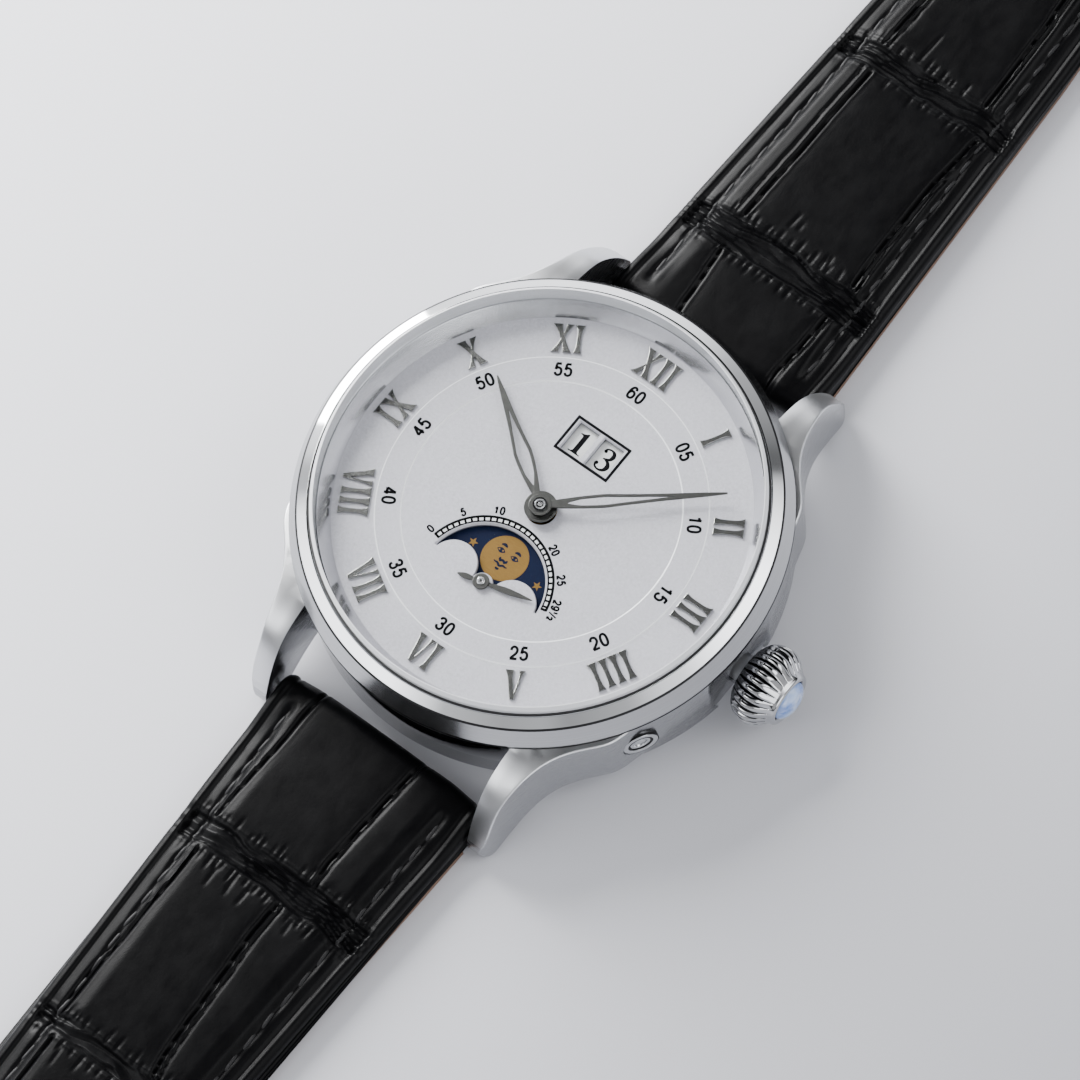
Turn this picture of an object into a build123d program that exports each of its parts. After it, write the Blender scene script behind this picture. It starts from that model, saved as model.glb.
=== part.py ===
from build123d import *
import math
import os

os.makedirs("parts", exist_ok=True)

# ---------------------------------------------------------------------------
# Driving dimensions, millimetres. Origin: centre of the case back's rest face.
# +X towards the crown (3 o'clock), +Y towards 12 o'clock, +Z up out of the dial.
# ---------------------------------------------------------------------------
Z_DIAL = 9.5            # dial surface
R_FLANK = 19.75         # case flank
R_BEZEL = 20.0          # bezel, widest
R_CAVITY = 16.35        # movement cavity
LUG_IN = 10.25          # inner face of each lug
BAR_Y, BAR_Z = 22.0, 1.75   # spring bar axis
R_DIAL, T_DIAL = 17.2, 0.4
STEM_Z = 4.75           # crown axis
MOON = (0.0, -7.62)     # small seconds and moon axis
TENS = (-4.24, 6.5)     # tens disc axis
UNITS = (5.44, 6.5)     # units disc axis
R_TENS, R_UNITS, R_MOON = 4.2, 5.36, 5.3
Z_DISC0, Z_DISC1 = 8.72, 8.9

C = (0.0, 0.0)              # centre wheel
T = (4.749, -4.797)         # third wheel
F = MOON                    # fourth wheel
E = (-4.481, -6.830)        # escape wheel
P = (-5.987, -4.711)        # pallet fork
W = (-8.20, -1.60)          # balance
B = (1.169, 6.617)          # barrel
K = (7.0, 0.0)              # crown wheel
MW = (2.819, -1.026)        # minute wheel

N_BARREL, N_CENTRE_PINION, M_BARREL = 72, 12, 0.16
N_CENTRE, N_THIRD_PINION, M_CENTRE = 80, 10, 0.15
N_THIRD, N_FOURTH_PINION, M_THIRD = 75, 10, 0.13
N_FOURTH, N_ESC_PINION, M_FOURTH = 84, 7, 0.10
N_CANNON, N_MINUTE, M_CANNON = 12, 36, 0.125
N_MIN_PINION, N_HOUR, M_HOUR = 10, 40, 0.12
N_RATCHET, N_CROWN, M_WIND = 60, 38, 0.18
N_WIND_PINION = 14

COR_ANGLE = math.radians(-30.0)   # corrector, 4 o'clock
COR_Z, COR_TRAVEL = 6.1, 0.7
CROWN_TRAVEL = 1.0

STRAP_HALF, STRAP_END = 10.0, 8.0   # half widths at lugs and at buckle
BUCKLE_Y, BUCKLE_Z = 95.0, 2.1
LONG_TIP = 137.0
KEEP_Y = 74.0

PILLARS_BARREL = [(-9.5, 8.5), (12.2, 4.0), (-4.2, 12.1)]
PILLARS_TRAIN = [(10.6, -7.2), (3.6, -12.3), (-3.2, -12.4)]
FOOT_COCK = (-11.0, -6.6)
FOOT_PALLET = (-8.0, -5.5)

nodes = {}


# ---------------------------------------------------------------------------
# Helpers
# ---------------------------------------------------------------------------
def cyl(r, z0, z1, x=0.0, y=0.0):
    return Pos(x, y, (z0 + z1) / 2) * Cylinder(r, z1 - z0)


def ring(ro, ri, z0, z1, x=0.0, y=0.0):
    return cyl(ro, z0, z1, x, y) - cyl(ri, z0 - 0.2, z1 + 0.2, x, y)


def cylx(r, x0, x1, y=0.0, z=STEM_Z):
    return Pos((x0 + x1) / 2, y, z) * (Rot(0, 90, 0) * Cylinder(r, x1 - x0))


def box(x0, x1, y0, y1, z0, z1):
    return Pos((x0 + x1) / 2, (y0 + y1) / 2, (z0 + z1) / 2) * Box(x1 - x0, y1 - y0, z1 - z0)


def prism(pts, z0, z1):
    f = make_face(Polyline(*[(x, y, z0) for x, y in pts], close=True))
    return extrude(f, amount=z1 - z0, dir=(0, 0, 1))


def prism_x(pts, x0, x1):
    """Prism along X from points (y, z)."""
    f = make_face(Polyline(*[(x0, y, z) for y, z in pts], close=True))
    return extrude(f, amount=x1 - x0, dir=(1, 0, 0))


def spin(profile):
    """Solid of revolution about Z from points (r, z)."""
    f = make_face(Polyline(*[(r, 0, z) for r, z in profile], close=True))
    return revolve(f, axis=Axis.Z, revolution_arc=360)


def spin_x(profile):
    """Solid of revolution about X from points (x, r), before it is moved."""
    f = make_face(Polyline(*[(x, r, 0) for x, r in profile], close=True))
    return revolve(f, axis=Axis.X, revolution_arc=360)


def ngon(n, r, x=0.0, y=0.0, a0=0.0):
    return [(x + r * math.cos(a0 + 2 * math.pi * i / n), y + r * math.sin(a0 + 2 * math.pi * i / n)) for i in range(n)]


def gear(n, m, phase, x, y, ded=1.2, add=0.85, tip=0.17, root=0.30):
    """Outline of a spur gear, phase = angle of a tooth's middle."""
    rp = n * m / 2
    ra, rf = rp + add * m, rp - ded * m
    p = 2 * math.pi / n
    pts = []
    for i in range(n):
        a = phase + i * p
        for r, da in ((rf, -root * p), (ra, -tip * p), (ra, tip * p), (rf, root * p)):
            pts.append((x + r * math.cos(a + da), y + r * math.sin(a + da)))
    return pts


def mesh_phase(phase, na, nb, ax, bx):
    """Phase of gear b so that it meshes with gear a."""
    th = math.atan2(bx[1] - ax[1], bx[0] - ax[0])
    pa, pb = 2 * math.pi / na, 2 * math.pi / nb
    u = ((th - phase) / pa) % 1.0
    return th + math.pi + (u + 0.5) * pb


def spokes(n, r0, r1, w, x, y, z0, z1, a0=0.0):
    """Openings between n spokes of width w."""
    out = None
    for i in range(n):
        a, b = a0 + 2 * math.pi * i / n, a0 + 2 * math.pi * (i + 1) / n
        pts = []
        for r, seq in ((r1, range(0, 9)), (r0, range(8, -1, -1))):
            d = math.asin(w / 2 / r)
            for k in seq:
                t = a + d + (b - a - 2 * d) * k / 8
                pts.append((x + r * math.cos(t), y + r * math.sin(t)))
        s = prism(pts, z0 - 0.1, z1 + 0.1)
        out = s if out is None else out + s
    return out


def slot(a, b, ra, rb, z0, z1, n=14):
    """Tapered slot shape round two points."""
    th = math.atan2(b[1] - a[1], b[0] - a[0])
    pts = [(a[0] + ra * math.cos(th + math.pi / 2 + math.pi * i / n), a[1] + ra * math.sin(th + math.pi / 2 + math.pi * i / n)) for i in range(n + 1)]
    pts += [(b[0] + rb * math.cos(th - math.pi / 2 + math.pi * i / n), b[1] + rb * math.sin(th - math.pi / 2 + math.pi * i / n)) for i in range(n + 1)]
    return prism(pts, z0, z1)


def bag(*shapes):
    """Several separate solids in one node."""
    solids = []
    for s in shapes:
        solids += list(s.solids())
    return Compound(children=solids)


def direction(angle):
    return Rot(0, 0, math.degrees(angle))


# ---------------------------------------------------------------------------
# Case
# ---------------------------------------------------------------------------
case = spin([(R_CAVITY, 2.6), (18.8, 2.6), (19.5, 2.85), (R_FLANK, 3.2), (R_FLANK, 9.38), (19.65, 9.5),
             (17.3, 9.5), (17.3, 9.1), (R_CAVITY, 9.1)])

# side profile of a lug (y, z) and its plan outline (x, y)
lug_top = [(8.0, 9.42), (13.0, 9.40), (16.0, 9.25), (18.2, 8.75), (20.2, 7.75), (21.7, 6.05), (22.8, 4.15), (23.45, 2.7)]
lug_tip = [(23.45, 2.7), (23.66, 1.9), (23.55, 1.05), (23.1, 0.55), (22.4, 0.40)]
lug_low = [(22.4, 0.40), (21.2, 0.72), (19.5, 1.65), (17.5, 2.55), (15.0, 3.05), (8.0, 3.2)]
side_edges = [Spline(*[(0, y, z) for y, z in lug_top]), Spline(*[(0, y, z) for y, z in lug_tip]),
              Spline(*[(0, y, z) for y, z in lug_low]), Line((0, 8.0, 3.2), (0, 8.0, 9.42))]
lug_side = extrude(make_face(side_edges), amount=30, dir=(1, 0, 0))
plan = [(17.35, 9.40), (16.50, 12.0), (15.15, 13.75), (13.95, 15.30), (12.80, 17.90), (12.20, 20.60), (12.02, 22.40)]
plan_edges = [Spline(*[(x, y, 0) for x, y in plan], tangents=[(-0.476, 0.879), (-0.05, 1.0)]),
              Spline((12.02, 22.40, 0), (11.80, 23.25, 0), (11.30, 23.75, 0), tangents=[(-0.05, 1.0), (-0.93, 0.36)]),
              Line((11.30, 23.75, 0), (LUG_IN, 23.95, 0)), Line((LUG_IN, 23.95, 0), (LUG_IN, 8.5, 0)),
              Line((LUG_IN, 8.5, 0), (17.35, 9.40, 0))]
lug_plan = extrude(make_face(plan_edges), amount=12, dir=(0, 0, 1))
lug = (lug_side & lug_plan) - cyl(18.4, -1, 12)
try:
    ridge = [e for e in lug.edges() if e.center().X > 11.6 and e.length > 4 and e.center().Y < 23.2
             and e.center().Z > 4 and abs(e.bounding_box().size.Z) > 2]
    lug = fillet(ridge, 0.18)
except Exception:
    pass
lug_ur = lug
lug_ul = mirror(lug, about=Plane.YZ)
lug_lr = mirror(lug, about=Plane.XZ)
lug_ll = mirror(lug_ul, about=Plane.XZ)
case = case + lug_ur + lug_ul + lug_lr + lug_ll
case -= ring(18.12, 17.53, 2.4, 3.02)                       # gasket groove
for i in range(6):
    a = math.radians(30 + 60 * i)
    case -= cyl(0.36, 2.4, 4.6, 16.95 * math.cos(a), 16.95 * math.sin(a))
case -= cylx(3.55, 19.15, 22.0)                             # crown pocket
case -= cylx(1.31, 15.5, 20.5)                              # crown tube bore
case -= direction(COR_ANGLE) * cylx(1.51, 15.5, 21.5, 0, COR_Z)
for s in (1, -1):
    for t in (1, -1):
        case -= cylx(0.46, 10.0, 11.4, s * BAR_Y, BAR_Z) if t > 0 else cylx(0.46, -11.4, -10.0, s * BAR_Y, BAR_Z)
nodes["case_middle"] = case

nodes["bezel"] = spin([(17.75, 9.5), (19.85, 9.5), (R_BEZEL, 9.62), (R_BEZEL, 9.80), (19.28, 11.30), (19.18, 11.40),
                       (18.30, 11.86), (18.2, 11.82), (18.2, 10.96), (17.75, 10.96)])
nodes["crystal"] = spin([(0, 10.97), (18.03, 10.97), (18.03, 12.34), (17.80, 12.66), (0, 12.66)])
nodes["case_gaskets"] = bag(ring(18.19, 18.05, 10.97, 11.92), ring(18.08, 17.57, 2.61, 3.0))
nodes["inner_flange_ring"] = spin([(16.69, 9.5), (17.72, 9.5), (17.72, 10.95), (17.62, 10.95)])

back = spin([(15.3, 0), (17.3, 0), (18.2, 0.9), (18.4, 1.3), (18.4, 2.58), (16.4, 2.58), (16.4, 1.6), (15.9, 1.6),
             (15.9, 0.5), (15.3, 0.5)])
screws_back = []
for i in range(6):
    a = math.radians(30 + 60 * i)
    x, y = 16.95 * math.cos(a), 16.95 * math.sin(a)
    back -= cyl(0.40, -0.5, 3.0, x, y)
    back -= cyl(0.75, -0.5, 0.75, x, y)
    sc = cyl(0.70, 0.15, 0.73, x, y) + cyl(0.33, 0.73, 4.2, x, y)
    sc -= Pos(x, y, 0.15) * (Rot(0, 0, 30 + 60 * i + 37) * Box(1.6, 0.2, 0.4))
    screws_back.append(sc)
nodes["case_back_ring"] = back
nodes["case_back_crystal"] = spin([(0, 0), (15.25, 0), (15.25, 0.5), (15.85, 0.5), (15.85, 1.5), (0, 1.5)])
nodes["case_back_screws"] = bag(*screws_back)
nodes["crown_tube"] = cylx(1.30, 16.6, 22.0) - cylx(0.90, 16.0, 22.5)
bush = spin_x([(16.9, 0.56), (16.9, 1.50), (19.92, 1.50), (20.0, 1.42), (20.0, 1.06), (19.92, 0.98), (18.3, 0.98), (18.3, 0.56)])
nodes["corrector_bush"] = direction(COR_ANGLE) * (Pos(0, 0, COR_Z) * bush)
pusher = spin_x([(15.2, 0), (15.2, 0.5), (19.08, 0.5), (19.08, 0.93), (19.66, 0.93), (19.72, 0.87), (19.72, 0.56),
                 (19.60, 0.50), (19.60, 0)])
nodes["corrector_pusher"] = direction(COR_ANGLE) * (Pos(0, 0, COR_Z) * pusher)
holder = ring(16.25, 14.1, 2.65, 9.05)
holder -= cylx(1.0, 13.5, 17.0)
holder -= direction(COR_ANGLE) * cylx(0.75, 13.5, 17.0, 0, COR_Z)
nodes["movement_holder_ring"] = holder

# ---------------------------------------------------------------------------
# Dial with its apertures
# ---------------------------------------------------------------------------
dial = cyl(R_DIAL, Z_DIAL - T_DIAL, Z_DIAL)
dial -= ring(13.2, 11.15, Z_DIAL - 0.07, Z_DIAL + 0.2)     # recessed minute track
for cx in (-1.24, 1.21):
    dial -= box(cx - 0.94, cx + 0.94, 6.5 - 1.32, 6.5 + 1.32, 9.0, 9.7)
R_APER, R_HUMP, X_HUMP, R_HUB = 5.0, 2.02, 2.92, 0.92
aper = cyl(R_APER, 9.0, 9.7, *MOON) & box(-6, 6, MOON[1], MOON[1] + 6, 8.9, 9.8)
for s in (-1, 1):
    aper -= cyl(R_HUMP, 8.9, 9.8, MOON[0] + s * X_HUMP, MOON[1])
    aper -= box(s * 5.5 - 0.75, s * 5.5 + 0.75, MOON[1] - 1, MOON[1] + 0.6, 8.9, 9.8)
aper -= cyl(R_HUB, 8.9, 9.8, *MOON)
dial -= aper
dial -= cyl(1.25, 9.0, 9.7)
dial -= cyl(0.36, 9.0, 9.7, *MOON)
nodes["dial"] = dial

# Roman numerals, as flat outlines in (u, v): u to the right, v towards the tops
HN = 2.45


def stem_i(x, w=0.40, s=0.80):
    h = HN / 2
    return [(x - s / 2, -h), (x + s / 2, -h), (x + s / 2, -h + 0.10), (x + w / 2, -h + 0.48), (x + w / 2, h - 0.48),
            (x + s / 2, h - 0.10), (x + s / 2, h), (x - s / 2, h), (x - s / 2, h - 0.10), (x - w / 2, h - 0.48),
            (x - w / 2, -h + 0.48), (x - s / 2, -h + 0.10)]


def bar(x0, v0, x1, v1, w0, w1):
    """Leaning stroke from (x0, v0) to (x1, v1) with end widths along u."""
    return [(x0 - w0 / 2, v0), (x0 + w0 / 2, v0), (x1 + w1 / 2, v1), (x1 - w1 / 2, v1)]


def glyph(ch, x):
    h = HN / 2
    if ch == "I":
        return [stem_i(x)], 0.0
    if ch == "V":
        return [bar(x, -h, x - 0.55, h, 0.42, 0.62), bar(x + 0.06, -h, x + 0.58, h, 0.20, 0.34)], 0.0
    return [bar(x + 0.60, -h, x - 0.58, h, 0.66, 0.62), bar(x - 0.62, -h, x + 0.60, h, 0.36, 0.36)], 0.0


WIDTH = {"I": 0.92, "V": 1.62, "X": 1.82}


def numeral(text):
    total = sum(WIDTH[c] for c in text)
    x, out = -total / 2, []
    for c in text:
        g, _ = glyph(c, x + WIDTH[c] / 2)
        out += g
        x += WIDTH[c]
    return out


HOURS = ["XII", "I", "II", "III", "IIII", "V", "VI", "VII", "VIII", "IX", "X", "XI"]
numerals = []
for i, text in enumerate(HOURS):
    flip = 4 <= i <= 8
    a = math.pi / 2 - i * math.pi / 6
    whole = None
    for poly in numeral(text):
        pts = []
        for u, v in poly:
            if flip:
                u, v = -u, -v
            rr, tt = 14.86 + v, -u
            pts.append((rr * math.cos(a) - tt * math.sin(a), rr * math.sin(a) + tt * math.cos(a)))
        s = prism(pts, Z_DIAL, Z_DIAL + 0.24)
        whole = s if whole is None else whole + s
    numerals.append(whole)
nodes["hour_numerals"] = bag(*numerals)


# ---------------------------------------------------------------------------
# Hands: skeleton leaves
# ---------------------------------------------------------------------------
def leaf(length, wide, at, open_to, rail, hub, tail_half=0.30):
    """Outline and opening of a leaf hand that points along +Y from the axis."""
    n = 22

    def half(y):
        if y < at:
            t = max(0.0, (y - hub * 0.8)) / (at - hub * 0.8)
            return tail_half + (wide / 2 - tail_half) * math.sin(t * math.pi / 2)
        t = (y - at) / (length - at)
        return wide / 2 * (1 - t) ** 0.86 * (1 - 0.18 * math.sin(math.pi * t)) + 0.06 * t
    ys = [hub * 0.7 + (length - hub * 0.7) * i / n for i in range(n + 1)]
    outer = [(half(y), y) for y in ys] + [(-half(y), y) for y in reversed(ys)]
    y0 = hub + 0.45
    ys = [y0 + (open_to - y0) * i / n for i in range(n + 1)]
    hole = []
    for y in ys:
        e = min(1.0, (y - y0) / 0.9, (open_to - y) / 1.6)
        hole.append((max(0.015, (half(y) - rail) * max(0.0, e) ** 0.6), y))
    hole = hole + [(-x, y) for x, y in reversed(hole)]
    return outer, hole


def turned(pts, clock_deg, x=0.0, y=0.0):
    a = -math.radians(clock_deg)
    return [(x + px * math.cos(a) - py * math.sin(a), y + px * math.sin(a) + py * math.cos(a)) for px, py in pts]


def hand(length, wide, at, open_to, rail, hub_r, bore_r, clock, z0, z1, zh, x=0.0, y=0.0):
    outer, hole = leaf(length, wide, at, open_to, rail, hub_r)
    h = prism(turned(outer, clock, x, y), z0, z1) + prism(ngon(36, hub_r, x, y), z0, zh)
    h -= prism(turned(hole, clock, x, y), z0 - 0.2, z1 + 0.2)
    if bore_r:
        h -= prism(ngon(24, bore_r, x, y), z0 - 0.2, zh + 0.2)
    return h


HOUR_CLOCK, MINUTE_CLOCK, SECOND_CLOCK = 305.0, 50.2, 75.6
nodes["hour_hand"] = hand(11.97, 1.50, 5.0, 8.75, 0.27, 1.33, 1.06, HOUR_CLOCK, 10.08, 10.26, 10.30)
nodes["minute_hand"] = hand(14.73, 1.15, 5.3, 10.6, 0.24, 1.02, 0.60, MINUTE_CLOCK, 10.46, 10.62, 10.68)
sec = prism(turned([(0.16, 0), (0.40, 1.9), (0.34, 2.7), (0.03, 4.39), (-0.03, 4.39), (-0.34, 2.7), (-0.40, 1.9), (-0.16, 0)],
                   SECOND_CLOCK, *MOON), 9.72, 9.84)
sec += prism(turned([(0.14, 0), (0.30, -1.25), (0.04, -2.04), (-0.04, -2.04), (-0.30, -1.25), (-0.14, 0)],
                    SECOND_CLOCK, *MOON), 9.72, 9.84)
sec += prism(ngon(32, 0.67, *MOON), 9.72, 9.92)
sec -= prism(ngon(20, 0.26, *MOON), 9.6, 10.2)
nodes["small_seconds_hand"] = sec

# ---------------------------------------------------------------------------
# Motion works on the dial side
# ---------------------------------------------------------------------------
ph_cannon = 0.1
ph_minute = mesh_phase(ph_cannon, N_CANNON, N_MINUTE, C, MW)
ph_minpin = 0.3
ph_hour = mesh_phase(ph_minpin, N_MIN_PINION, N_HOUR, MW, C)
cannon = prism(gear(N_CANNON, M_CANNON, ph_cannon, *C, ded=1.05), 7.70, 8.15)
cannon += prism(ngon(24, 0.58, *C), 7.70, 10.80)
cannon -= prism(ngon(24, 0.36, *C), 7.5, 10.70)
nodes["cannon_pinion"] = cannon
mwheel = prism(gear(N_MINUTE, M_CANNON, ph_minute, *MW), 7.75, 7.95) + prism(gear(N_MIN_PINION, M_HOUR, ph_minpin, *MW, ded=1.0), 7.9, 8.48)
mwheel -= prism(ngon(16, 0.31, *MW), 7.6, 8.7)
nodes["minute_wheel"] = mwheel
hwheel = prism(gear(N_HOUR, M_HOUR, ph_hour, *C), 8.25, 8.45) + prism(ngon(24, 1.05, *C), 8.25, 10.30)
hwheel -= prism(ngon(24, 0.66, *C), 8.0, 10.5)
nodes["hour_wheel"] = hwheel

# ---------------------------------------------------------------------------
# Moon and date discs
# ---------------------------------------------------------------------------
nodes["moon_disc"] = prism(ngon(72, R_MOON, *MOON), Z_DISC0, Z_DISC1) - prism(ngon(24, 0.82, *MOON), 8.5, 9.1)
nodes["date_tens_disc"] = prism(ngon(60, R_TENS, *TENS), Z_DISC0, Z_DISC1) - prism(ngon(24, 0.57, *TENS), 8.5, 9.1)
nodes["date_units_disc"] = prism(ngon(60, R_UNITS, *UNITS), Z_DISC0, Z_DISC1) - prism(ngon(24, 0.57, *UNITS), 8.5, 9.1)

# ---------------------------------------------------------------------------
# Main plate and bridges
# ---------------------------------------------------------------------------
plate = cyl(14.0, 6.4, 8.5)
plate += box(10.9, 13.6, -1.6, 1.6, 3.95, 6.5)
plate -= cyl(2.75, 7.6, 8.7) + cyl(2.62, 7.6, 8.7, *MW)
plate += cyl(0.25, 7.55, 8.6, *MW)
plate += cyl(0.75, 8.4, 8.98, *MOON) + cyl(0.50, 8.4, 8.98, *TENS) + cyl(0.50, 8.4, 8.98, *UNITS)
plate -= cyl(0.42, 6.0, 9.5)
plate -= cyl(0.32, 6.0, 9.5, *F)
for q in (T, E, P, W):
    plate -= cyl(0.27, 6.0, 7.3, *q)
plate -= cyl(0.67, 6.0, 7.3, *B)
plate -= box(8.8, 10.9, -1.85, 1.85, 6.0, 6.75)
plate -= cylx(0.55, 10.0, 14.5)
for q in PILLARS_BARREL + PILLARS_TRAIN + [FOOT_COCK]:
    plate -= cyl(0.37, 6.0, 7.6, *q)
plate -= cyl(0.26, 6.0, 7.4, *FOOT_PALLET)
nodes["main_plate"] = plate

disc = cyl(13.4, 3.1, 3.8)
bb = disc & prism([(-14, 3.6), (-3.2, 1.9), (3.3, 1.9), (4.7, -1.5), (14, -1.5), (14, 14), (-14, 14)], 3.0, 3.9)
for q in PILLARS_BARREL:
    bb += cyl(0.95, 3.6, 6.4, *q)
bb += cyl(0.80, 2.72, 3.2, *K)
bb += box(6.4, 7.2, -0.7, 0.7, 3.7, 5.2)
bb -= cylx(0.36, 6.0, 7.6)
bb -= box(9.2, 10.9, -1.8, 1.8, 3.0, 3.9)
bb -= cyl(0.67, 3.0, 3.9, *B)
tb = disc & prism([(-3.0, 1.6), (3.1, 1.6), (4.5, -1.8), (14, -1.8), (14, -14), (-6.2, -14), (-6.6, -8.2), (-6.0, -6.0),
                   (-3.7, -5.1), (-3.0, -3.0)], 3.0, 3.9)
for q in PILLARS_TRAIN:
    tb += cyl(0.95, 3.6, 6.4, *q)
tb -= cyl(0.36, 3.25, 3.9)
cock = slot(FOOT_COCK, W, 2.2, 1.8, 3.1, 3.8) & cyl(13.7, 3.0, 3.9)
cock += cyl(1.0, 3.6, 6.4, *FOOT_COCK)
pb = slot(FOOT_PALLET, P, 0.72, 0.62, 4.65, 4.95) + cyl(0.6, 4.8, 6.4, *FOOT_PALLET)
jewel_list = []
for q in (T, F, E):
    tb -= cyl(0.62, 3.0, 3.45, *q) + cyl(0.32, 3.3, 3.9, *q)
    jewel_list.append(ring(0.60, 0.21, 3.1, 3.45, *q))
cock -= cyl(0.62, 3.0, 3.45, *W) + cyl(0.32, 3.3, 3.9, *W)
jewel_list.append(ring(0.60, 0.21, 3.1, 3.45, *W))
pb -= cyl(0.42, 4.5, 5.0, *P)
jewel_list.append(ring(0.40, 0.21, 4.65, 4.95, *P))
screw_list = []
for i, q in enumerate(PILLARS_BARREL + PILLARS_TRAIN + [FOOT_COCK]):
    hole = cyl(0.37, 3.0, 6.5, *q) + cyl(0.68, 3.0, 3.5, *q)
    if q in PILLARS_BARREL:
        bb -= hole
    elif q in PILLARS_TRAIN:
        tb -= hole
    else:
        cock -= hole
    sc = cyl(0.64, 3.05, 3.49, *q) + cyl(0.33, 3.4, 7.4, *q)
    sc -= Pos(q[0], q[1], 3.05) * (Rot(0, 0, 25 + 41 * i) * Box(1.5, 0.16, 0.3))
    screw_list.append(sc)
hole = cyl(0.26, 4.5, 6.5, *FOOT_PALLET) + cyl(0.42, 4.5, 4.85, *FOOT_PALLET)
pb -= hole
screw_list.append(cyl(0.40, 4.66, 4.84, *FOOT_PALLET) + cyl(0.23, 4.8, 7.2, *FOOT_PALLET))
nodes["barrel_bridge"] = bb
nodes["train_bridge"] = tb
nodes["balance_cock"] = cock
nodes["pallet_bridge"] = pb
nodes["jewels"] = bag(*jewel_list)
nodes["bridge_screws"] = bag(*screw_list)
nodes["rotor_bearing"] = spin([(0, 1.92), (1.2, 1.92), (1.2, 2.6), (0.9, 2.6), (0.9, 3.1), (0, 3.1)])


# ---------------------------------------------------------------------------
# Wheel train
# ---------------------------------------------------------------------------
def mobile(q, n, m, ph, zw, hub, n_sp, pin, arbors):
    """Wheel plate on a pinion and arbor: two solids."""
    seat = ngon(20, hub, *q)
    wheel = prism(gear(n, m, ph, *q), *zw) - prism(seat, zw[0] - 0.1, zw[1] + 0.1)
    rp = n * m / 2
    wheel -= spokes(n_sp, hub + 0.45, rp - 3.0 * m - 0.12, 0.34, *q, *zw, a0=0.4)
    core = prism(seat, *zw)
    for pts, z0, z1 in pin:
        core += prism(pts, z0, z1)
    for r, z0, z1 in arbors:
        core += cyl(r, z0, z1, *q)
    return wheel, core


ph_barrel = 0.0
ph_cp = mesh_phase(ph_barrel, N_BARREL, N_CENTRE_PINION, B, C)
ph_centre = 0.05
ph_tp = mesh_phase(ph_centre, N_CENTRE, N_THIRD_PINION, C, T)
ph_third = 0.02
ph_fp = mesh_phase(ph_third, N_THIRD, N_FOURTH_PINION, T, F)
ph_fourth = 0.0
ph_ep = mesh_phase(ph_fourth, N_FOURTH, N_ESC_PINION, F, E)

w, c = mobile(C, N_CENTRE, M_CENTRE, ph_centre, (5.9, 6.15), 0.8, 5,
              [(gear(N_CENTRE_PINION, M_BARREL, ph_cp, *C, ded=1.05), 3.95, 4.5), (ngon(20, 0.55, *C), 4.5, 5.95)],
              [(0.30, 3.35, 10.45)])
nodes["centre_wheel"] = bag(w, c)
w, c = mobile(T, N_THIRD, M_THIRD, ph_third, (5.3, 5.5), 0.6, 5,
              [(gear(N_THIRD_PINION, M_CENTRE, ph_tp, *T, ded=1.05), 5.75, 6.25), (ngon(16, 0.42, *T), 5.5, 5.8)],
              [(0.22, 3.5, 7.2), (0.15, 3.15, 3.6)])
nodes["third_wheel"] = bag(w, c)
w, c = mobile(F, N_FOURTH, M_FOURTH, ph_fourth, (4.7, 4.88), 0.5, 5,
              [(gear(N_FOURTH_PINION, M_THIRD, ph_fp, *F, ded=1.05), 5.15, 5.65), (ngon(16, 0.38, *F), 4.85, 5.2)],
              [(0.22, 3.5, 9.90), (0.15, 3.15, 3.6)])
nodes["fourth_wheel"] = bag(w, c)

# escape wheel: hooked teeth
esc = []
for i in range(15):
    a = 2 * math.pi * i / 15
    for r, da in ((1.62, 0.0), (1.78, 0.10), (2.10, 0.27), (2.08, 0.33), (1.80, 0.27), (1.62, 0.20)):
        esc.append((E[0] + r * math.cos(a + da * 1.0), E[1] + r * math.sin(a + da * 1.0)))
seat = ngon(16, 0.32, *E)
ew = prism([p for p in esc], 5.15, 5.3) - prism(seat, 5.0, 5.4)
ew -= spokes(4, 0.55, 1.38, 0.22, *E, 5.15, 5.3)
ec = prism(seat, 5.15, 5.3) + prism(gear(N_ESC_PINION, M_FOURTH, ph_ep, *E, ded=0.95), 4.55, 5.0) + cyl(0.20, 3.5, 7.1, *E) + cyl(0.15, 3.15, 3.6, *E)
nodes["escape_wheel"] = bag(ew, ec)

# pallet fork: lever, two arms with stones, arbor
th = math.atan2(W[1] - P[1], W[0] - P[0])


def along(q, a, d, s=0.0):
    return (q[0] + d * math.cos(a) - s * math.sin(a), q[1] + d * math.sin(a) + s * math.cos(a))


lever = [along(P, th, 0.3, 0.22), along(P, th, 2.3, 0.12), along(P, th, 2.75, 0.30), along(P, th, 3.25, 0.30), along(P, th, 3.25, 0.12),
         along(P, th, 2.95, 0.10), along(P, th, 2.95, -0.10), along(P, th, 3.25, -0.12), along(P, th, 3.25, -0.30),
         along(P, th, 2.75, -0.30), along(P, th, 2.3, -0.12), along(P, th, 0.3, -0.22)]
arms = [along(P, th, 0.25, 1.45), along(P, th, 0.35, 0.3), along(P, th, 0.35, -0.3), along(P, th, 0.25, -1.45),
        along(P, th, -0.35, -1.60), along(P, th, -0.25, -0.35), along(P, th, -0.25, 0.35), along(P, th, -0.35, 1.60)]
fork = prism(lever, 5.1, 5.3) + prism(arms, 5.1, 5.3) + prism(ngon(16, 0.42, *P), 5.1, 5.3) + cyl(0.2, 4.68, 7.1, *P)
nodes["pallet_fork"] = fork

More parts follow.
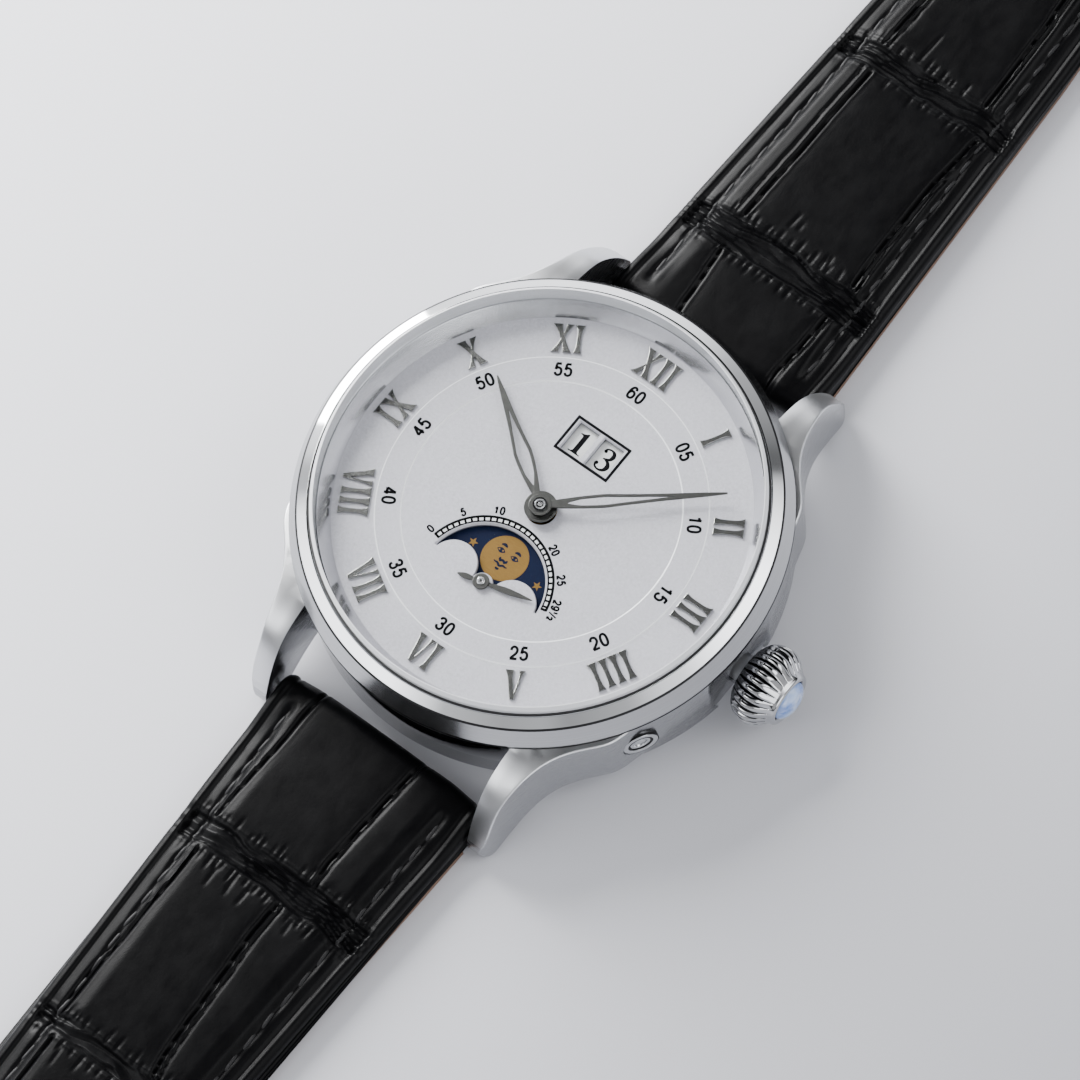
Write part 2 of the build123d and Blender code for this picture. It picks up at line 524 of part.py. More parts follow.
# balance with staff, roller and impulse pin; flat hairspring
bal = ring(4.2, 3.75, 4.1, 4.5, *W)
bal += box(W[0] - 3.9, W[0] + 3.9, W[1] - 0.22, W[1] + 0.22, 4.15, 4.40)
bal += cyl(0.7, 4.1, 4.5, *W) + cyl(0.22, 3.5, 7.1, *W) + cyl(0.15, 3.15, 3.6, *W) + cyl(0.45, 4.80, 5.0, *W)
px, py = along(W, th + math.pi, 0.28)
bal += cyl(0.07, 4.9, 5.32, px, py)
nodes["balance_wheel"] = bal
turns, steps = 5, 26
inner, outer = [], []
for i in range(turns * steps + 1):
    a = 2 * math.pi * i / steps
    r = 0.48 + (2.5 - 0.48) * i / (turns * steps)
    inner.append((W[0] + (r - 0.04) * math.cos(a), W[1] + (r - 0.04) * math.sin(a)))
    outer.append((W[0] + (r + 0.04) * math.cos(a), W[1] + (r + 0.04) * math.sin(a)))
hs = prism(outer + inner[::-1], 3.86, 4.0) + ring(0.5, 0.24, 3.86, 4.0, *W)
nodes["hairspring"] = hs

# barrel with its mainspring; ratchet wheel on the barrel arbor
drum = prism(gear(N_BARREL, M_BARREL, ph_barrel, *B), 4.0, 4.28) + cyl(5.3, 4.2, 5.7, *B)
drum -= cyl(5.05, 4.28, 5.5, *B)
drum += cyl(1.0, 4.2, 4.5, *B)
drum -= cyl(0.67, 3.9, 5.8, *B)
nodes["mainspring_barrel"] = drum
turns, steps = 8, 26
inner, outer = [], []
for i in range(turns * steps + 1):
    a = 2 * math.pi * i / steps
    r = 1.35 + (4.9 - 1.35) * i / (turns * steps)
    inner.append((B[0] + (r - 0.06) * math.cos(a), B[1] + (r - 0.06) * math.sin(a)))
    outer.append((B[0] + (r + 0.06) * math.cos(a), B[1] + (r + 0.06) * math.sin(a)))
nodes["mainspring"] = prism(outer + inner[::-1], 4.42, 5.42)
ph_ratchet = 0.0
ph_crown = mesh_phase(ph_ratchet, N_RATCHET, N_CROWN, B, K)
rat = prism(gear(N_RATCHET, M_WIND, ph_ratchet, *B), 2.75, 3.05) + cyl(0.60, 2.70, 7.0, *B)
rat -= Pos(B[0], B[1], 2.70) * Box(1.0, 0.2, 0.24)
nodes["ratchet_wheel"] = rat
nodes["crown_wheel"] = prism(gear(N_CROWN, M_WIND, ph_crown, *K), 2.75, 3.05) - prism(ngon(24, 0.88, *K), 2.5, 3.2)

# ---------------------------------------------------------------------------
# Winding: stem, pinions, crown
# ---------------------------------------------------------------------------
to_x = Pos(0, 0, STEM_Z)


def along_x(pts, x0, x1):
    """Prism along X round the stem axis, from (a, b) points about it."""
    return prism_x([(a, STEM_Z + b) for a, b in pts], x0, x1)


wind = along_x(gear(N_WIND_PINION, 0.21, 0.1, 0, 0, add=0.76), 9.5, 10.4) + along_x(ngon(20, 0.75), 9.2, 9.6)
wind -= along_x(ngon(16, 0.52), 9.0, 10.6)
slide = along_x(gear(12, 0.115, 0.0, 0, 0, add=0.5, ded=0.8), 7.7, 8.1) + along_x(ngon(20, 0.62), 8.1, 9.0)
slide -= along_x(ngon(16, 0.52), 7.5, 9.2)
nodes["stem_pinions"] = bag(wind, slide)
nodes["winding_stem"] = to_x * spin_x([(5.9, 0), (5.9, 0.30), (7.5, 0.30), (7.5, 0.45), (22.4, 0.45), (22.4, 0)])
crown = to_x * spin_x([(17.6, 0.47), (17.6, 0.80), (22.3, 0.80), (22.3, 1.75), (20.15, 1.75), (20.15, 2.30), (20.42, 2.80),
                       (20.95, 3.20), (21.6, 3.42), (22.1, 3.44), (22.6, 3.30), (23.1, 2.97), (23.5, 2.55), (23.8, 2.22),
                       (24.0, 2.12), (24.18, 2.02), (24.2, 1.72), (23.6, 1.72), (23.6, 0), (22.5, 0), (22.5, 0.47)])
star = []
for i in range(28):
    a = 2 * math.pi * i / 28
    for r, da in ((3.46, -0.036), (3.46, 0.036), (3.08, 0.090), (3.08, 0.134)):
        star.append((r * math.cos(a + da), r * math.sin(a + da)))
crown = crown & along_x(star, 17.0, 25.0)
nodes["crown"] = crown
dome = [(23.62, 0), (23.62, 1.66), (24.12, 1.66)]
dome += [(24.12 + 0.78 * math.sin(t), 1.66 * math.cos(t)) for t in [math.pi / 2 * i / 8 for i in range(1, 8)]] + [(24.90, 0)]
nodes["crown_cabochon"] = to_x * spin_x(dome)
nodes["crown_gasket"] = cylx(1.72, 20.35, 20.85) - cylx(1.36, 20.0, 21.0)

# ---------------------------------------------------------------------------
# Rotor
# ---------------------------------------------------------------------------
ROTOR_MID = math.radians(205)


def sector(r0, r1, half, z0, z1, n=24):
    pts = [(r1 * math.cos(ROTOR_MID - half + 2 * half * i / n), r1 * math.sin(ROTOR_MID - half + 2 * half * i / n)) for i in range(n + 1)]
    pts += [(r0 * math.cos(ROTOR_MID + half - 2 * half * i / n), r0 * math.sin(ROTOR_MID + half - 2 * half * i / n)) for i in range(n + 1)]
    return prism(pts, z0, z1)


rotor = sector(2.0, 10.4, math.radians(88), 2.15, 2.50) + sector(10.2, 13.2, math.radians(92), 1.75, 2.62)
rotor += ring(2.3, 1.27, 1.92, 2.60)
for da in (-52, 0, 52):
    a = ROTOR_MID + math.radians(da)
    rotor -= prism(
        [(r * math.cos(a + d), r * math.sin(a + d)) for r, d in
         ((4.0, -0.30), (6.0, -0.36), (8.8, -0.38), (9.1, -0.2), (9.2, 0.0), (9.1, 0.2), (8.8, 0.38), (6.0, 0.36), (4.0, 0.30))],
        1.9, 2.7)
nodes["rotor"] = rotor

# ---------------------------------------------------------------------------
# Strap, spring bars, keepers, buckle
# ---------------------------------------------------------------------------
bars = []
for s in (1, -1):
    b_ = cylx(0.85, -9.95, 9.95, s * BAR_Y, BAR_Z) + cylx(0.40, -11.2, 11.2, s * BAR_Y, BAR_Z)
    bars.append(b_)
nodes["spring_bars"] = bag(*bars)

HALF_LINE = [(20.0, 10.0), (24.0, 10.0), (76.0, 8.0)]


def plan_strap(tip):
    """Plan outline of a strap half that runs along +Y."""
    if tip:
        right = [(10.0, 20.0), (10.0, 24.0), (8.0, 76.0), (8.0, 127.0), (7.45, 130.5), (6.1, 133.6), (4.0, 135.9), (1.6, 136.9)]
    else:
        right = [(10.0, 20.0), (10.0, 24.0), (8.0, 76.0), (8.0, 97.0)]
    return right + [(-x, y) for x, y in reversed(right)]


def strap_half(top, mid, low, plan_pts, tip):
    leather = prism_x(top + mid[::-1], -11, 11)
    lining = prism_x(mid[2:] + low[::-1], -11, 11)
    outline = prism(plan_pts, -1, 6)
    return leather & outline, lining & outline


# 12 o'clock half
top_s = [(22.0, 3.45), (30.0, 3.62), (57.0, 3.30), (65.0, 3.55), (93.0, 3.30), (95.0, 3.30)]
mid_s = [(22.0, 0.05), (23.9, 0.05), (23.9, 0.80), (57.0, 0.80), (65.0, 1.70), (93.0, 1.70), (93.0, 0.90), (95.0, 0.90)]
lea = prism_x(top_s + mid_s[::-1], -11, 11) & prism(plan_strap(False), -1, 6)
lea += cylx(1.70, -10, 10, BAR_Y, BAR_Z)
lea += cylx(1.20, -8, 8, BUCKLE_Y, BUCKLE_Z)
lea -= cylx(0.92, -12, 12, BAR_Y, BAR_Z)
lea -= cylx(0.67, -12, 12, BUCKLE_Y, BUCKLE_Z)
lea -= box(-1.2, 1.2, 90.0, 98.0, -1, 6)
nodes["strap_short_leather"] = lea
lin = prism_x([(24.0, 0.80), (57.0, 0.80), (65.0, 1.70), (92.9, 1.70), (92.9, 0.90), (65.0, 0.90), (57.0, 0.0), (24.0, 0.0)], -11, 11)
lin = lin & prism(plan_strap(False), -1, 6)
lin -= box(-1.2, 1.2, 90.0, 98.0, -1, 6)
nodes["strap_short_lining"] = lin

# 6 o'clock half, built along +Y and mirrored
top_l = [(22.0, 3.45), (30.0, 3.62), (60.0, 3.25), (100.0, 2.75), (138.0, 2.45)]
mid_l = [(22.0, 0.05), (23.9, 0.05), (23.9, 0.80), (138.0, 0.80)]
HOLES_Y = [86.0 + 6.5 * i for i in range(7)]
lea = prism_x(top_l + mid_l[::-1], -11, 11) & prism(plan_strap(True), -1, 6)
lea += cylx(1.70, -10, 10, BAR_Y, BAR_Z)
lea -= cylx(0.92, -12, 12, BAR_Y, BAR_Z)
lin = prism_x([(24.0, 0.80), (138.0, 0.80), (138.0, 0.0), (24.0, 0.0)], -11, 11) & prism(plan_strap(True), -1, 6)
for y in HOLES_Y:
    lea -= cyl(0.95, -1, 6, 0, y)
    lin -= cyl(0.95, -1, 6, 0, y)
nodes["strap_long_leather"] = mirror(lea, about=Plane.XZ)
nodes["strap_long_lining"] = mirror(lin, about=Plane.XZ)


def stitching(top, y0, y1, wide=0.42, high=0.14):
    strip = prism_x([(y, z) for y, z in top] + [(y, z + high) for y, z in reversed(top)], -11, 11)
    out = []
    for s in (1, -1):
        ys = [y0] + [v for v in (24.0, 76.0) if y0 < v < y1] + [y1]
        line = []
        for y in ys:
            hw = 10.0 if y <= 24 else (10.0 - 2.0 * (y - 24) / 52 if y < 76 else 8.0)
            line.append((s * (hw - 2.25), y))
        pts = [(x - wide / 2, y) for x, y in line] + [(x + wide / 2, y) for x, y in reversed(line)]
        out.append(strip & prism(pts, -1, 6))
    return out


nodes["strap_short_stitching"] = bag(*stitching(top_s, 23.0, 83.5))
nodes["strap_long_stitching"] = mirror(bag(*stitching(top_l, 23.0, 128.0)), about=Plane.XZ)

# keepers
nodes["fixed_keeper"] = box(-9.5, 9.5, 85.0, 89.5, 1.0, 6.9) - box(-8.0, 8.0, 84.0, 90.5, 0.0, 6.1)
nodes["free_keeper"] = box(-9.5, 9.5, KEEP_Y - 2.0, KEEP_Y + 2.0, 0.0, 6.9) - box(-8.55, 8.55, KEEP_Y - 3.0, KEEP_Y + 3.0, 0.78, 6.1)

# buckle
fr_side = [(93.9, 1.35), (94.35, 0.98), (95.8, 0.98), (103.5, 0.30), (104.6, 0.0), (106.7, 0.0), (107.2, 0.45), (107.2, 1.85),
           (106.9, 2.25), (104.6, 2.60), (95.8, 3.22), (94.35, 3.22), (93.9, 2.85)]
fr = prism_x(fr_side, -9.95, 9.95)
fr_plan = [(9.95, 93.0), (9.95, 104.4), (9.5, 105.9), (8.3, 107.0), (6.6, 107.3), (-6.6, 107.3), (-8.3, 107.0), (-9.5, 105.9),
           (-9.95, 104.4), (-9.95, 93.0)]
fr = fr & prism(fr_plan, -1, 5)
fr -= prism([(8.25, 93.0), (8.25, 103.6), (7.4, 104.6), (-7.4, 104.6), (-8.25, 103.6), (-8.25, 93.0)], -1, 5)
fr -= cylx(0.46, -9.3, 9.3, BUCKLE_Y, BUCKLE_Z)
nodes["buckle_frame"] = fr
nodes["buckle_spring_bar"] = cylx(0.60, -8.15, 8.15, BUCKLE_Y, BUCKLE_Z) + cylx(0.40, -9.2, 9.2, BUCKLE_Y, BUCKLE_Z)
tongue = prism_x([(94.9, 3.24), (97.0, 3.30), (103.6, 3.62), (106.6, 3.45), (107.5, 3.05), (107.6, 2.70), (107.2, 2.48),
                  (104.6, 2.72), (103.4, 2.78), (97.2, 2.42), (95.9, 2.3)], -0.85, 0.85)
tongue += cylx(1.15, -0.85, 0.85, BUCKLE_Y, BUCKLE_Z)
tongue -= cylx(0.67, -1.2, 1.2, BUCKLE_Y, BUCKLE_Z)
nodes["buckle_tongue"] = tongue

for name, shape in nodes.items():
    export_step(shape, f"parts/{name}.step")
print(len(nodes), "nodes")
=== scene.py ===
import bpy
import math
import numpy as np
from mathutils import Matrix, Vector


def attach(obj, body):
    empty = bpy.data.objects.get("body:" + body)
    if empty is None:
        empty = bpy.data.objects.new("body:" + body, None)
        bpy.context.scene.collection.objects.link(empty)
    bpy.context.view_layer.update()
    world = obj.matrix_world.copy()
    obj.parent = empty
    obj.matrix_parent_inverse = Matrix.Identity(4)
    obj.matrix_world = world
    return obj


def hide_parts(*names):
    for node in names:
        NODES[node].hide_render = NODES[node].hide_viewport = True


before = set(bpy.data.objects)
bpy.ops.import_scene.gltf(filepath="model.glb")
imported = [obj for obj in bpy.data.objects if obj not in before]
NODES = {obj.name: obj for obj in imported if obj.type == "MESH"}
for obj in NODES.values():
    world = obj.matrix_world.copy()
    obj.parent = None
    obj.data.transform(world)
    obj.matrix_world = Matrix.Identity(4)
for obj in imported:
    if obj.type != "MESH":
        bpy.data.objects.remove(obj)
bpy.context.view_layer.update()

MM = 0.001
Z_DIAL = 9.5
MOON = (0.0, -7.62)
RNG = np.random.default_rng(4850)


# ---------------------------------------------------------------------------
# Node material helpers
# ---------------------------------------------------------------------------
class Mat:
    """Small builder for a node material. Coordinates are object space in millimetres."""

    def __init__(self, name):
        self.m = bpy.data.materials.new(name)
        self.m.use_nodes = True
        self.nt = self.m.node_tree
        self.nt.nodes.clear()
        self.out = self.nt.nodes.new("ShaderNodeOutputMaterial")
        self.b = self.nt.nodes.new("ShaderNodeBsdfPrincipled")
        self.nt.links.new(self.b.outputs[0], self.out.inputs["Surface"])
        self._pos = None

    def node(self, kind, **props):
        n = self.nt.nodes.new(kind)
        for k, v in props.items():
            setattr(n, k, v)
        return n

    def link(self, a, b):
        self.nt.links.new(a, b)

    @property
    def pos(self):
        if self._pos is None:
            tc = self.node("ShaderNodeTexCoord")
            sc = self.node("ShaderNodeVectorMath", operation="SCALE")
            sc.inputs["Scale"].default_value = 1000.0
            self.link(tc.outputs["Object"], sc.inputs[0])
            self._pos = sc.outputs[0]
        return self._pos

    def scaled(self, sx, sy, sz, src=None):
        n = self.node("ShaderNodeVectorMath", operation="MULTIPLY")
        self.link(src or self.pos, n.inputs[0])
        n.inputs[1].default_value = (sx, sy, sz)
        return n.outputs[0]

    def split(self, src=None):
        n = self.node("ShaderNodeSeparateXYZ")
        self.link(src or self.pos, n.inputs[0])
        return n.outputs

    def join(self, x, y, z):
        n = self.node("ShaderNodeCombineXYZ")
        for s, v in zip(n.inputs, (x, y, z)):
            if isinstance(v, (int, float)):
                s.default_value = v
            else:
                self.link(v, s)
        return n.outputs[0]

    def math(self, op, a, b=None, clamp=False):
        n = self.node("ShaderNodeMath", operation=op)
        n.use_clamp = clamp
        for s, v in zip(n.inputs, (a, b)):
            if v is None:
                continue
            if isinstance(v, (int, float)):
                s.default_value = v
            else:
                self.link(v, s)
        return n.outputs[0]

    def noise(self, scale, detail=3.0, rough=0.55, vec=None, dist=0.0):
        n = self.node("ShaderNodeTexNoise")
        n.inputs["Scale"].default_value = scale
        n.inputs["Detail"].default_value = detail
        n.inputs["Roughness"].default_value = rough
        n.inputs["Distortion"].default_value = dist
        self.link(vec or self.pos, n.inputs["Vector"])
        return n.outputs["Fac"]

    def voronoi(self, scale, feature="F1", vec=None, out="Distance", rand=1.0):
        n = self.node("ShaderNodeTexVoronoi", feature=feature)
        n.inputs["Scale"].default_value = scale
        n.inputs["Randomness"].default_value = rand
        self.link(vec or self.pos, n.inputs["Vector"])
        return n.outputs[out]

    def ramp(self, src, stops, interp="LINEAR"):
        n = self.node("ShaderNodeValToRGB")
        n.color_ramp.interpolation = interp
        while len(n.color_ramp.elements) < len(stops):
            n.color_ramp.elements.new(0.5)
        for e, (p, c) in zip(n.color_ramp.elements, stops):
            e.position = p
            e.color = (c, c, c, 1) if isinstance(c, (int, float)) else (*c, 1)
        self.link(src, n.inputs[0])
        return n.outputs[0]

    def remap(self, src, a0, a1, b0, b1):
        n = self.node("ShaderNodeMapRange")
        self.link(src, n.inputs["Value"])
        for k, v in (("From Min", a0), ("From Max", a1), ("To Min", b0), ("To Max", b1)):
            n.inputs[k].default_value = v
        return n.outputs[0]

    def mixc(self, fac, a, b):
        n = self.node("ShaderNodeMix", data_type="RGBA")
        for s, v in ((n.inputs["Factor"], fac), (n.inputs[6], a), (n.inputs[7], b)):
            if isinstance(v, (int, float)):
                s.default_value = v
            elif isinstance(v, tuple):
                s.default_value = (*v, 1)
            else:
                self.link(v, s)
        return n.outputs[2]

    def bump(self, height, strength=0.2, dist=0.02, normal=None):
        """dist in millimetres."""
        n = self.node("ShaderNodeBump")
        n.inputs["Strength"].default_value = strength
        n.inputs["Distance"].default_value = dist * MM
        self.link(height, n.inputs["Height"])
        if normal is not None:
            self.link(normal, n.inputs["Normal"])
        return n.outputs[0]

    def set(self, **kw):
        names = {"base": "Base Color", "metal": "Metallic", "rough": "Roughness", "coat": "Coat Weight",
                 "coat_rough": "Coat Roughness", "spec": "Specular IOR Level", "ior": "IOR", "sheen": "Sheen Weight",
                 "sheen_rough": "Sheen Roughness", "trans": "Transmission Weight", "normal": "Normal",
                 "coat_normal": "Coat Normal", "aniso": "Anisotropic", "aniso_rot": "Anisotropic Rotation",
                 "sss": "Subsurface Weight"}
        for k, v in kw.items():
            s = self.b.inputs[names[k]]
            if isinstance(v, (int, float)):
                s.default_value = v
            elif isinstance(v, tuple):
                s.default_value = (*v, 1)
            else:
                self.link(v, s)
        return self


def steel_polished(name="polished_steel", base=(0.70, 0.71, 0.73), rough=0.07, wobble=0.012):
    m = Mat(name)
    n1 = m.noise(0.9, 2.0, 0.5)
    n2 = m.noise(14.0, 3.0, 0.6)
    scr = m.noise(6.0, 4.0, 0.7, m.scaled(1, 14, 3))
    r = m.math("ADD", m.remap(n1, 0.3, 0.7, rough * 0.75, rough * 1.3), m.remap(scr, 0.62, 0.8, 0.0, 0.03))
    nb = m.bump(n2, 0.10, wobble)
    m.set(base=m.mixc(m.remap(n1, 0.35, 0.65, 0, 1), base, tuple(c * 0.965 for c in base)), metal=1.0, rough=r, normal=nb)
    return m.m


def steel_brushed(name, base=(0.43, 0.435, 0.45), rough=0.26, lines=(0.35, 0.35, 26.0), depth=0.006, polish_up=False):
    """Fine grinding lines; with polish_up, faces that look up are mirror polished instead, and the wall between the
    lugs is polished too and painted darker as shade cast by the strap.
    """
    m = Mat(name)
    fine = m.noise(2.4, 4.0, 0.75, m.scaled(*lines))
    broad = m.noise(0.8, 3.0, 0.6, m.scaled(lines[0], lines[1], lines[2] * 0.35))
    h = m.math("ADD", fine, m.math("MULTIPLY", broad, 0.5))
    nb = m.bump(h, 0.30, depth)
    r = m.remap(fine, 0.3, 0.75, rough * 0.85, rough * 1.25)
    col = m.mixc(m.remap(fine, 0.35, 0.7, 0, 1), base, tuple(c * 0.90 for c in base))
    if polish_up:
        geo = m.node("ShaderNodeNewGeometry")
        nz = m.split(geo.outputs["True Normal"])[2]
        up = m.remap(nz, 0.30, 0.42, 0.0, 1.0)
        px, py, pz = m.split()
        lug_gap_polished_shaded = m.math("MULTIPLY", m.math("LESS_THAN", m.math("ABSOLUTE", px), 10.02), m.math("GREATER_THAN", m.math("ABSOLUTE", py), 12.0))
        flat = m.math("MAXIMUM", m.math("MULTIPLY", up, 0.80), lug_gap_polished_shaded)
        r = m.math("ADD", m.math("MULTIPLY", r, m.math("SUBTRACT", 1.0, flat)), m.math("MULTIPLY", flat, m.math("SUBTRACT", 0.36, m.math("MULTIPLY", lug_gap_polished_shaded, 0.28))))
        nb = m.bump(m.math("MULTIPLY", h, m.math("SUBTRACT", 1.0, flat)), 0.30, depth)
        col = m.mixc(flat, col, (0.74, 0.75, 0.77))
        # painted shade: the wall between the lugs gets a darker colour where the strap shades it
        col = m.mixc(lug_gap_polished_shaded, col, (0.30, 0.305, 0.32))
    m.set(base=col, metal=1.0, rough=r, normal=nb)
    return m.m


def steel_bezel():
    """Polished, with finer turned lines on the steep outer side; that side's darker tone is partly its satin turning
    and partly painted shade for the shadowed floor it reflects.
    """
    m = Mat("bezel_steel")
    x, y, z = m.split()
    n1 = m.noise(0.9, 2.0, 0.5)
    r = m.math("SQRT", m.math("ADD", m.math("MULTIPLY", x, x), m.math("MULTIPLY", y, y)))
    turned_ = m.noise(1.0, 3.0, 0.7, m.join(m.math("MULTIPLY", r, 6.0), m.math("MULTIPLY", z, 30.0), 0.0))
    # side marks the steep outer band: rougher turned satin, and a darker base colour that is partly painted shade for
    # the shadowed floor it reflects
    side = m.remap(z, 11.27, 11.33, 1.0, 0.0)
    col = m.mixc(side, (0.80, 0.81, 0.83), m.mixc(m.remap(turned_, 0.35, 0.65, 0, 1), (0.46, 0.465, 0.475), (0.39, 0.395, 0.405)))
    rough = m.math("ADD", m.remap(n1, 0.3, 0.7, 0.055, 0.085), m.math("MULTIPLY", side, m.remap(turned_, 0.3, 0.7, 0.06, 0.11)))
    m.set(base=col, metal=1.0, rough=rough, normal=m.bump(m.math("MULTIPLY", turned_, side), 0.12, 0.004))
    return m.m


def satin_metal(name, base, rough=0.3, grain=9.0, depth=0.004, metal=1.0, tint=0.9):
    m = Mat(name)
    g = m.noise(grain, 4.0, 0.65)
    b = m.noise(grain * 0.12, 2.0, 0.5)
    m.set(base=m.mixc(m.remap(b, 0.35, 0.65, 0, 1), base, tuple(c * tint for c in base)), metal=metal,
          rough=m.remap(g, 0.3, 0.7, rough * 0.85, rough * 1.2), normal=m.bump(g, 0.25, depth))
    return m.m


def striped_metal(name, base, pitch=1.35, angle=0.0, rough=0.24):
    """Nickel bridges with broad wave stripes and fine lines along them."""
    m = Mat(name)
    c, s = math.cos(angle), math.sin(angle)
    x, y, z = m.split()
    u = m.math("ADD", m.math("MULTIPLY", x, c), m.math("MULTIPLY", y, s))
    v = m.math("SUBTRACT", m.math("MULTIPLY", y, c), m.math("MULTIPLY", x, s))
    saw = m.math("FRACT", m.math("DIVIDE", u, pitch))
    arc = m.math("MULTIPLY", saw, m.math("SUBTRACT", 1.0, saw))
    lines = m.noise(1.0, 3.0, 0.7, m.join(m.math("MULTIPLY", u, 1.3), m.math("MULTIPLY", v, 22.0), 0.0))
    h = m.math("ADD", m.math("MULTIPLY", arc, 3.0), m.math("MULTIPLY", lines, 0.35))
    col = m.mixc(m.remap(saw, 0.0, 1.0, 0.0, 1.0), base, tuple(c_ * 0.80 for c_ in base))
    m.set(base=col, metal=1.0, rough=m.remap(lines, 0.3, 0.7, rough * 0.8, rough * 1.25), normal=m.bump(h, 0.45, 0.02))
    return m.m


def perlage_metal(name, base, rough=0.25):
    """Overlapping round grinding spots, as on a main plate."""
    m = Mat(name)
    x, y, z = m.split()
    row = m.math("FLOOR", m.math("DIVIDE", y, 0.62))
    off = m.math("MULTIPLY", m.math("FRACT", m.math("MULTIPLY", row, 0.5)), 0.7)
    fx = m.math("SUBTRACT", m.math("FRACT", m.math("DIVIDE", m.math("ADD", x, off), 0.70)), 0.5)
    fy = m.math("SUBTRACT", m.math("FRACT", m.math("DIVIDE", y, 0.62)), 0.5)
    d = m.math("SQRT", m.math("ADD", m.math("MULTIPLY", fx, fx), m.math("MULTIPLY", fy, fy)))
    rings = m.math("SINE", m.math("MULTIPLY", d, 95.0))
    h = m.math("ADD", m.math("MULTIPLY", d, 2.0), m.math("MULTIPLY", rings, 0.10))
    m.set(base=m.mixc(m.remap(d, 0.0, 0.6, 0, 1), base, tuple(c * 0.82 for c in base)), metal=1.0,
          rough=m.remap(rings, -1, 1, rough * 0.8, rough * 1.2), normal=m.bump(h, 0.4, 0.012))
    return m.m


def sunray_metal(name, base, centre=(0.0, 0.0), rough=0.22, lines=70.0):
    """Fine grinding lines round a centre, as on wheels and ratchets."""
    m = Mat(name)
    x, y, z = m.split()
    dx, dy = m.math("SUBTRACT", x, centre[0]), m.math("SUBTRACT", y, centre[1])
    r = m.math("SQRT", m.math("ADD", m.math("MULTIPLY", dx, dx), m.math("MULTIPLY", dy, dy)))
    n = m.noise(1.0, 3.0, 0.7, m.join(m.math("MULTIPLY", r, 14.0), 0.0, 0.0))
    m.set(base=m.mixc(m.remap(n, 0.35, 0.65, 0, 1), base, tuple(c * 0.86 for c in base)), metal=1.0,
          rough=m.remap(n, 0.3, 0.7, rough * 0.8, rough * 1.25), normal=m.bump(n, 0.3, 0.006))
    return m.m


def dial_silver():
    m = Mat("dial_silver_grain_wall_shade")
    g = m.noise(11.0, 3.0, 0.7)
    g2 = m.noise(34.0, 2.0, 0.6)
    b = m.noise(0.35, 2.0, 0.5)
    h = m.math("ADD", g, m.math("MULTIPLY", g2, 0.6))
    g3 = m.noise(4.6, 3.0, 0.75)
    mix = m.math("ADD", m.math("MULTIPLY", m.remap(g, 0.32, 0.68, 0, 1), 0.5), m.math("MULTIPLY", m.remap(g3, 0.36, 0.64, 0, 1), 0.5))
    col = m.mixc(mix, (0.622, 0.614, 0.660), (0.440, 0.433, 0.474))
    col = m.mixc(m.remap(b, 0.35, 0.65, 0, 0.30), col, (0.58, 0.572, 0.612))
    # painted shade: the walls of the moon and date windows below the dial face are coloured near black, as if in shadow
    col = m.mixc(m.remap(m.split()[2], 9.28, 9.34, 0.85, 0.0), col, (0.075, 0.078, 0.10))
    m.set(base=col, metal=0.25, rough=m.remap(g2, 0.3, 0.7, 0.42, 0.55), normal=m.bump(h, 0.50, 0.020), spec=0.4)
    return m.m


def paint(name, base, rough=0.4, grain=20.0, depth=0.003, vary=0.9, spec=0.5):
    m = Mat(name)
    g = m.noise(grain, 3.0, 0.6)
    m.set(base=m.mixc(m.remap(g, 0.35, 0.65, 0, 1), base, tuple(c * vary for c in base)), rough=m.remap(g, 0.3, 0.7, rough * 0.9, rough * 1.12),
          normal=m.bump(g, 0.2, depth), spec=spec)
    return m.m


def moon_gold():
    m = Mat("moon_gold_foil")
    lines = m.noise(1.0, 3.0, 0.7, m.scaled(1.2, 34.0, 1.0))
    g = m.noise(18.0, 3.0, 0.7)
    col = m.mixc(m.remap(lines, 0.3, 0.7, 0, 1), (0.265, 0.150, 0.033), (0.185, 0.100, 0.020))
    m.set(base=col, metal=0.55, rough=m.remap(g, 0.3, 0.7, 0.36, 0.48), normal=m.bump(lines, 0.3, 0.006))
    return m.m


def leather_black():
    m = Mat("leather_black_embossed")
    pores = m.voronoi(5.2, "F1")
    fine = m.noise(12.0, 5.0, 0.7)
    grain = m.voronoi(2.6, "DISTANCE_TO_EDGE")
    soft = m.noise(0.35, 3.0, 0.55)
    streak = m.noise(1.3, 3.0, 0.6, m.scaled(1.0, 0.4, 1.0))
    h = m.math("ADD", m.math("MULTIPLY", fine, 0.55), m.math("MULTIPLY", m.remap(grain, 0.0, 0.25, 0.0, 1.0), 0.14))
    h = m.math("ADD", h, m.math("MULTIPLY", m.remap(pores, 0.0, 0.22, 0.0, 1.0), 0.18))
    nb = m.bump(h, 0.42, 0.024)
    col = m.mixc(m.remap(soft, 0.3, 0.7, 0, 1), (0.0012, 0.0012, 0.0015), (0.0021, 0.0021, 0.0025))
    rough = m.math("ADD", m.remap(streak, 0.3, 0.7, 0.30, 0.40), m.remap(fine, 0.3, 0.7, -0.02, 0.04))
    m.set(base=col, rough=rough, normal=nb, spec=0.095)
    return m.m


def leather_lining():
    m = Mat("leather_lining_brown")
    grain = m.voronoi(3.0, "DISTANCE_TO_EDGE")
    fine = m.noise(9.0, 4.0, 0.65)
    blot = m.noise(0.25, 3.0, 0.6)
    h = m.math("ADD", m.remap(grain, 0.0, 0.2, 0.0, 0.7), m.math("MULTIPLY", fine, 0.4))
    col = m.mixc(m.remap(blot, 0.3, 0.7, 0, 1), (0.165, 0.095, 0.062), (0.125, 0.070, 0.045))
    m.set(base=col, rough=m.remap(fine, 0.3, 0.7, 0.48, 0.62), normal=m.bump(h, 0.4, 0.03), spec=0.35)
    return m.m


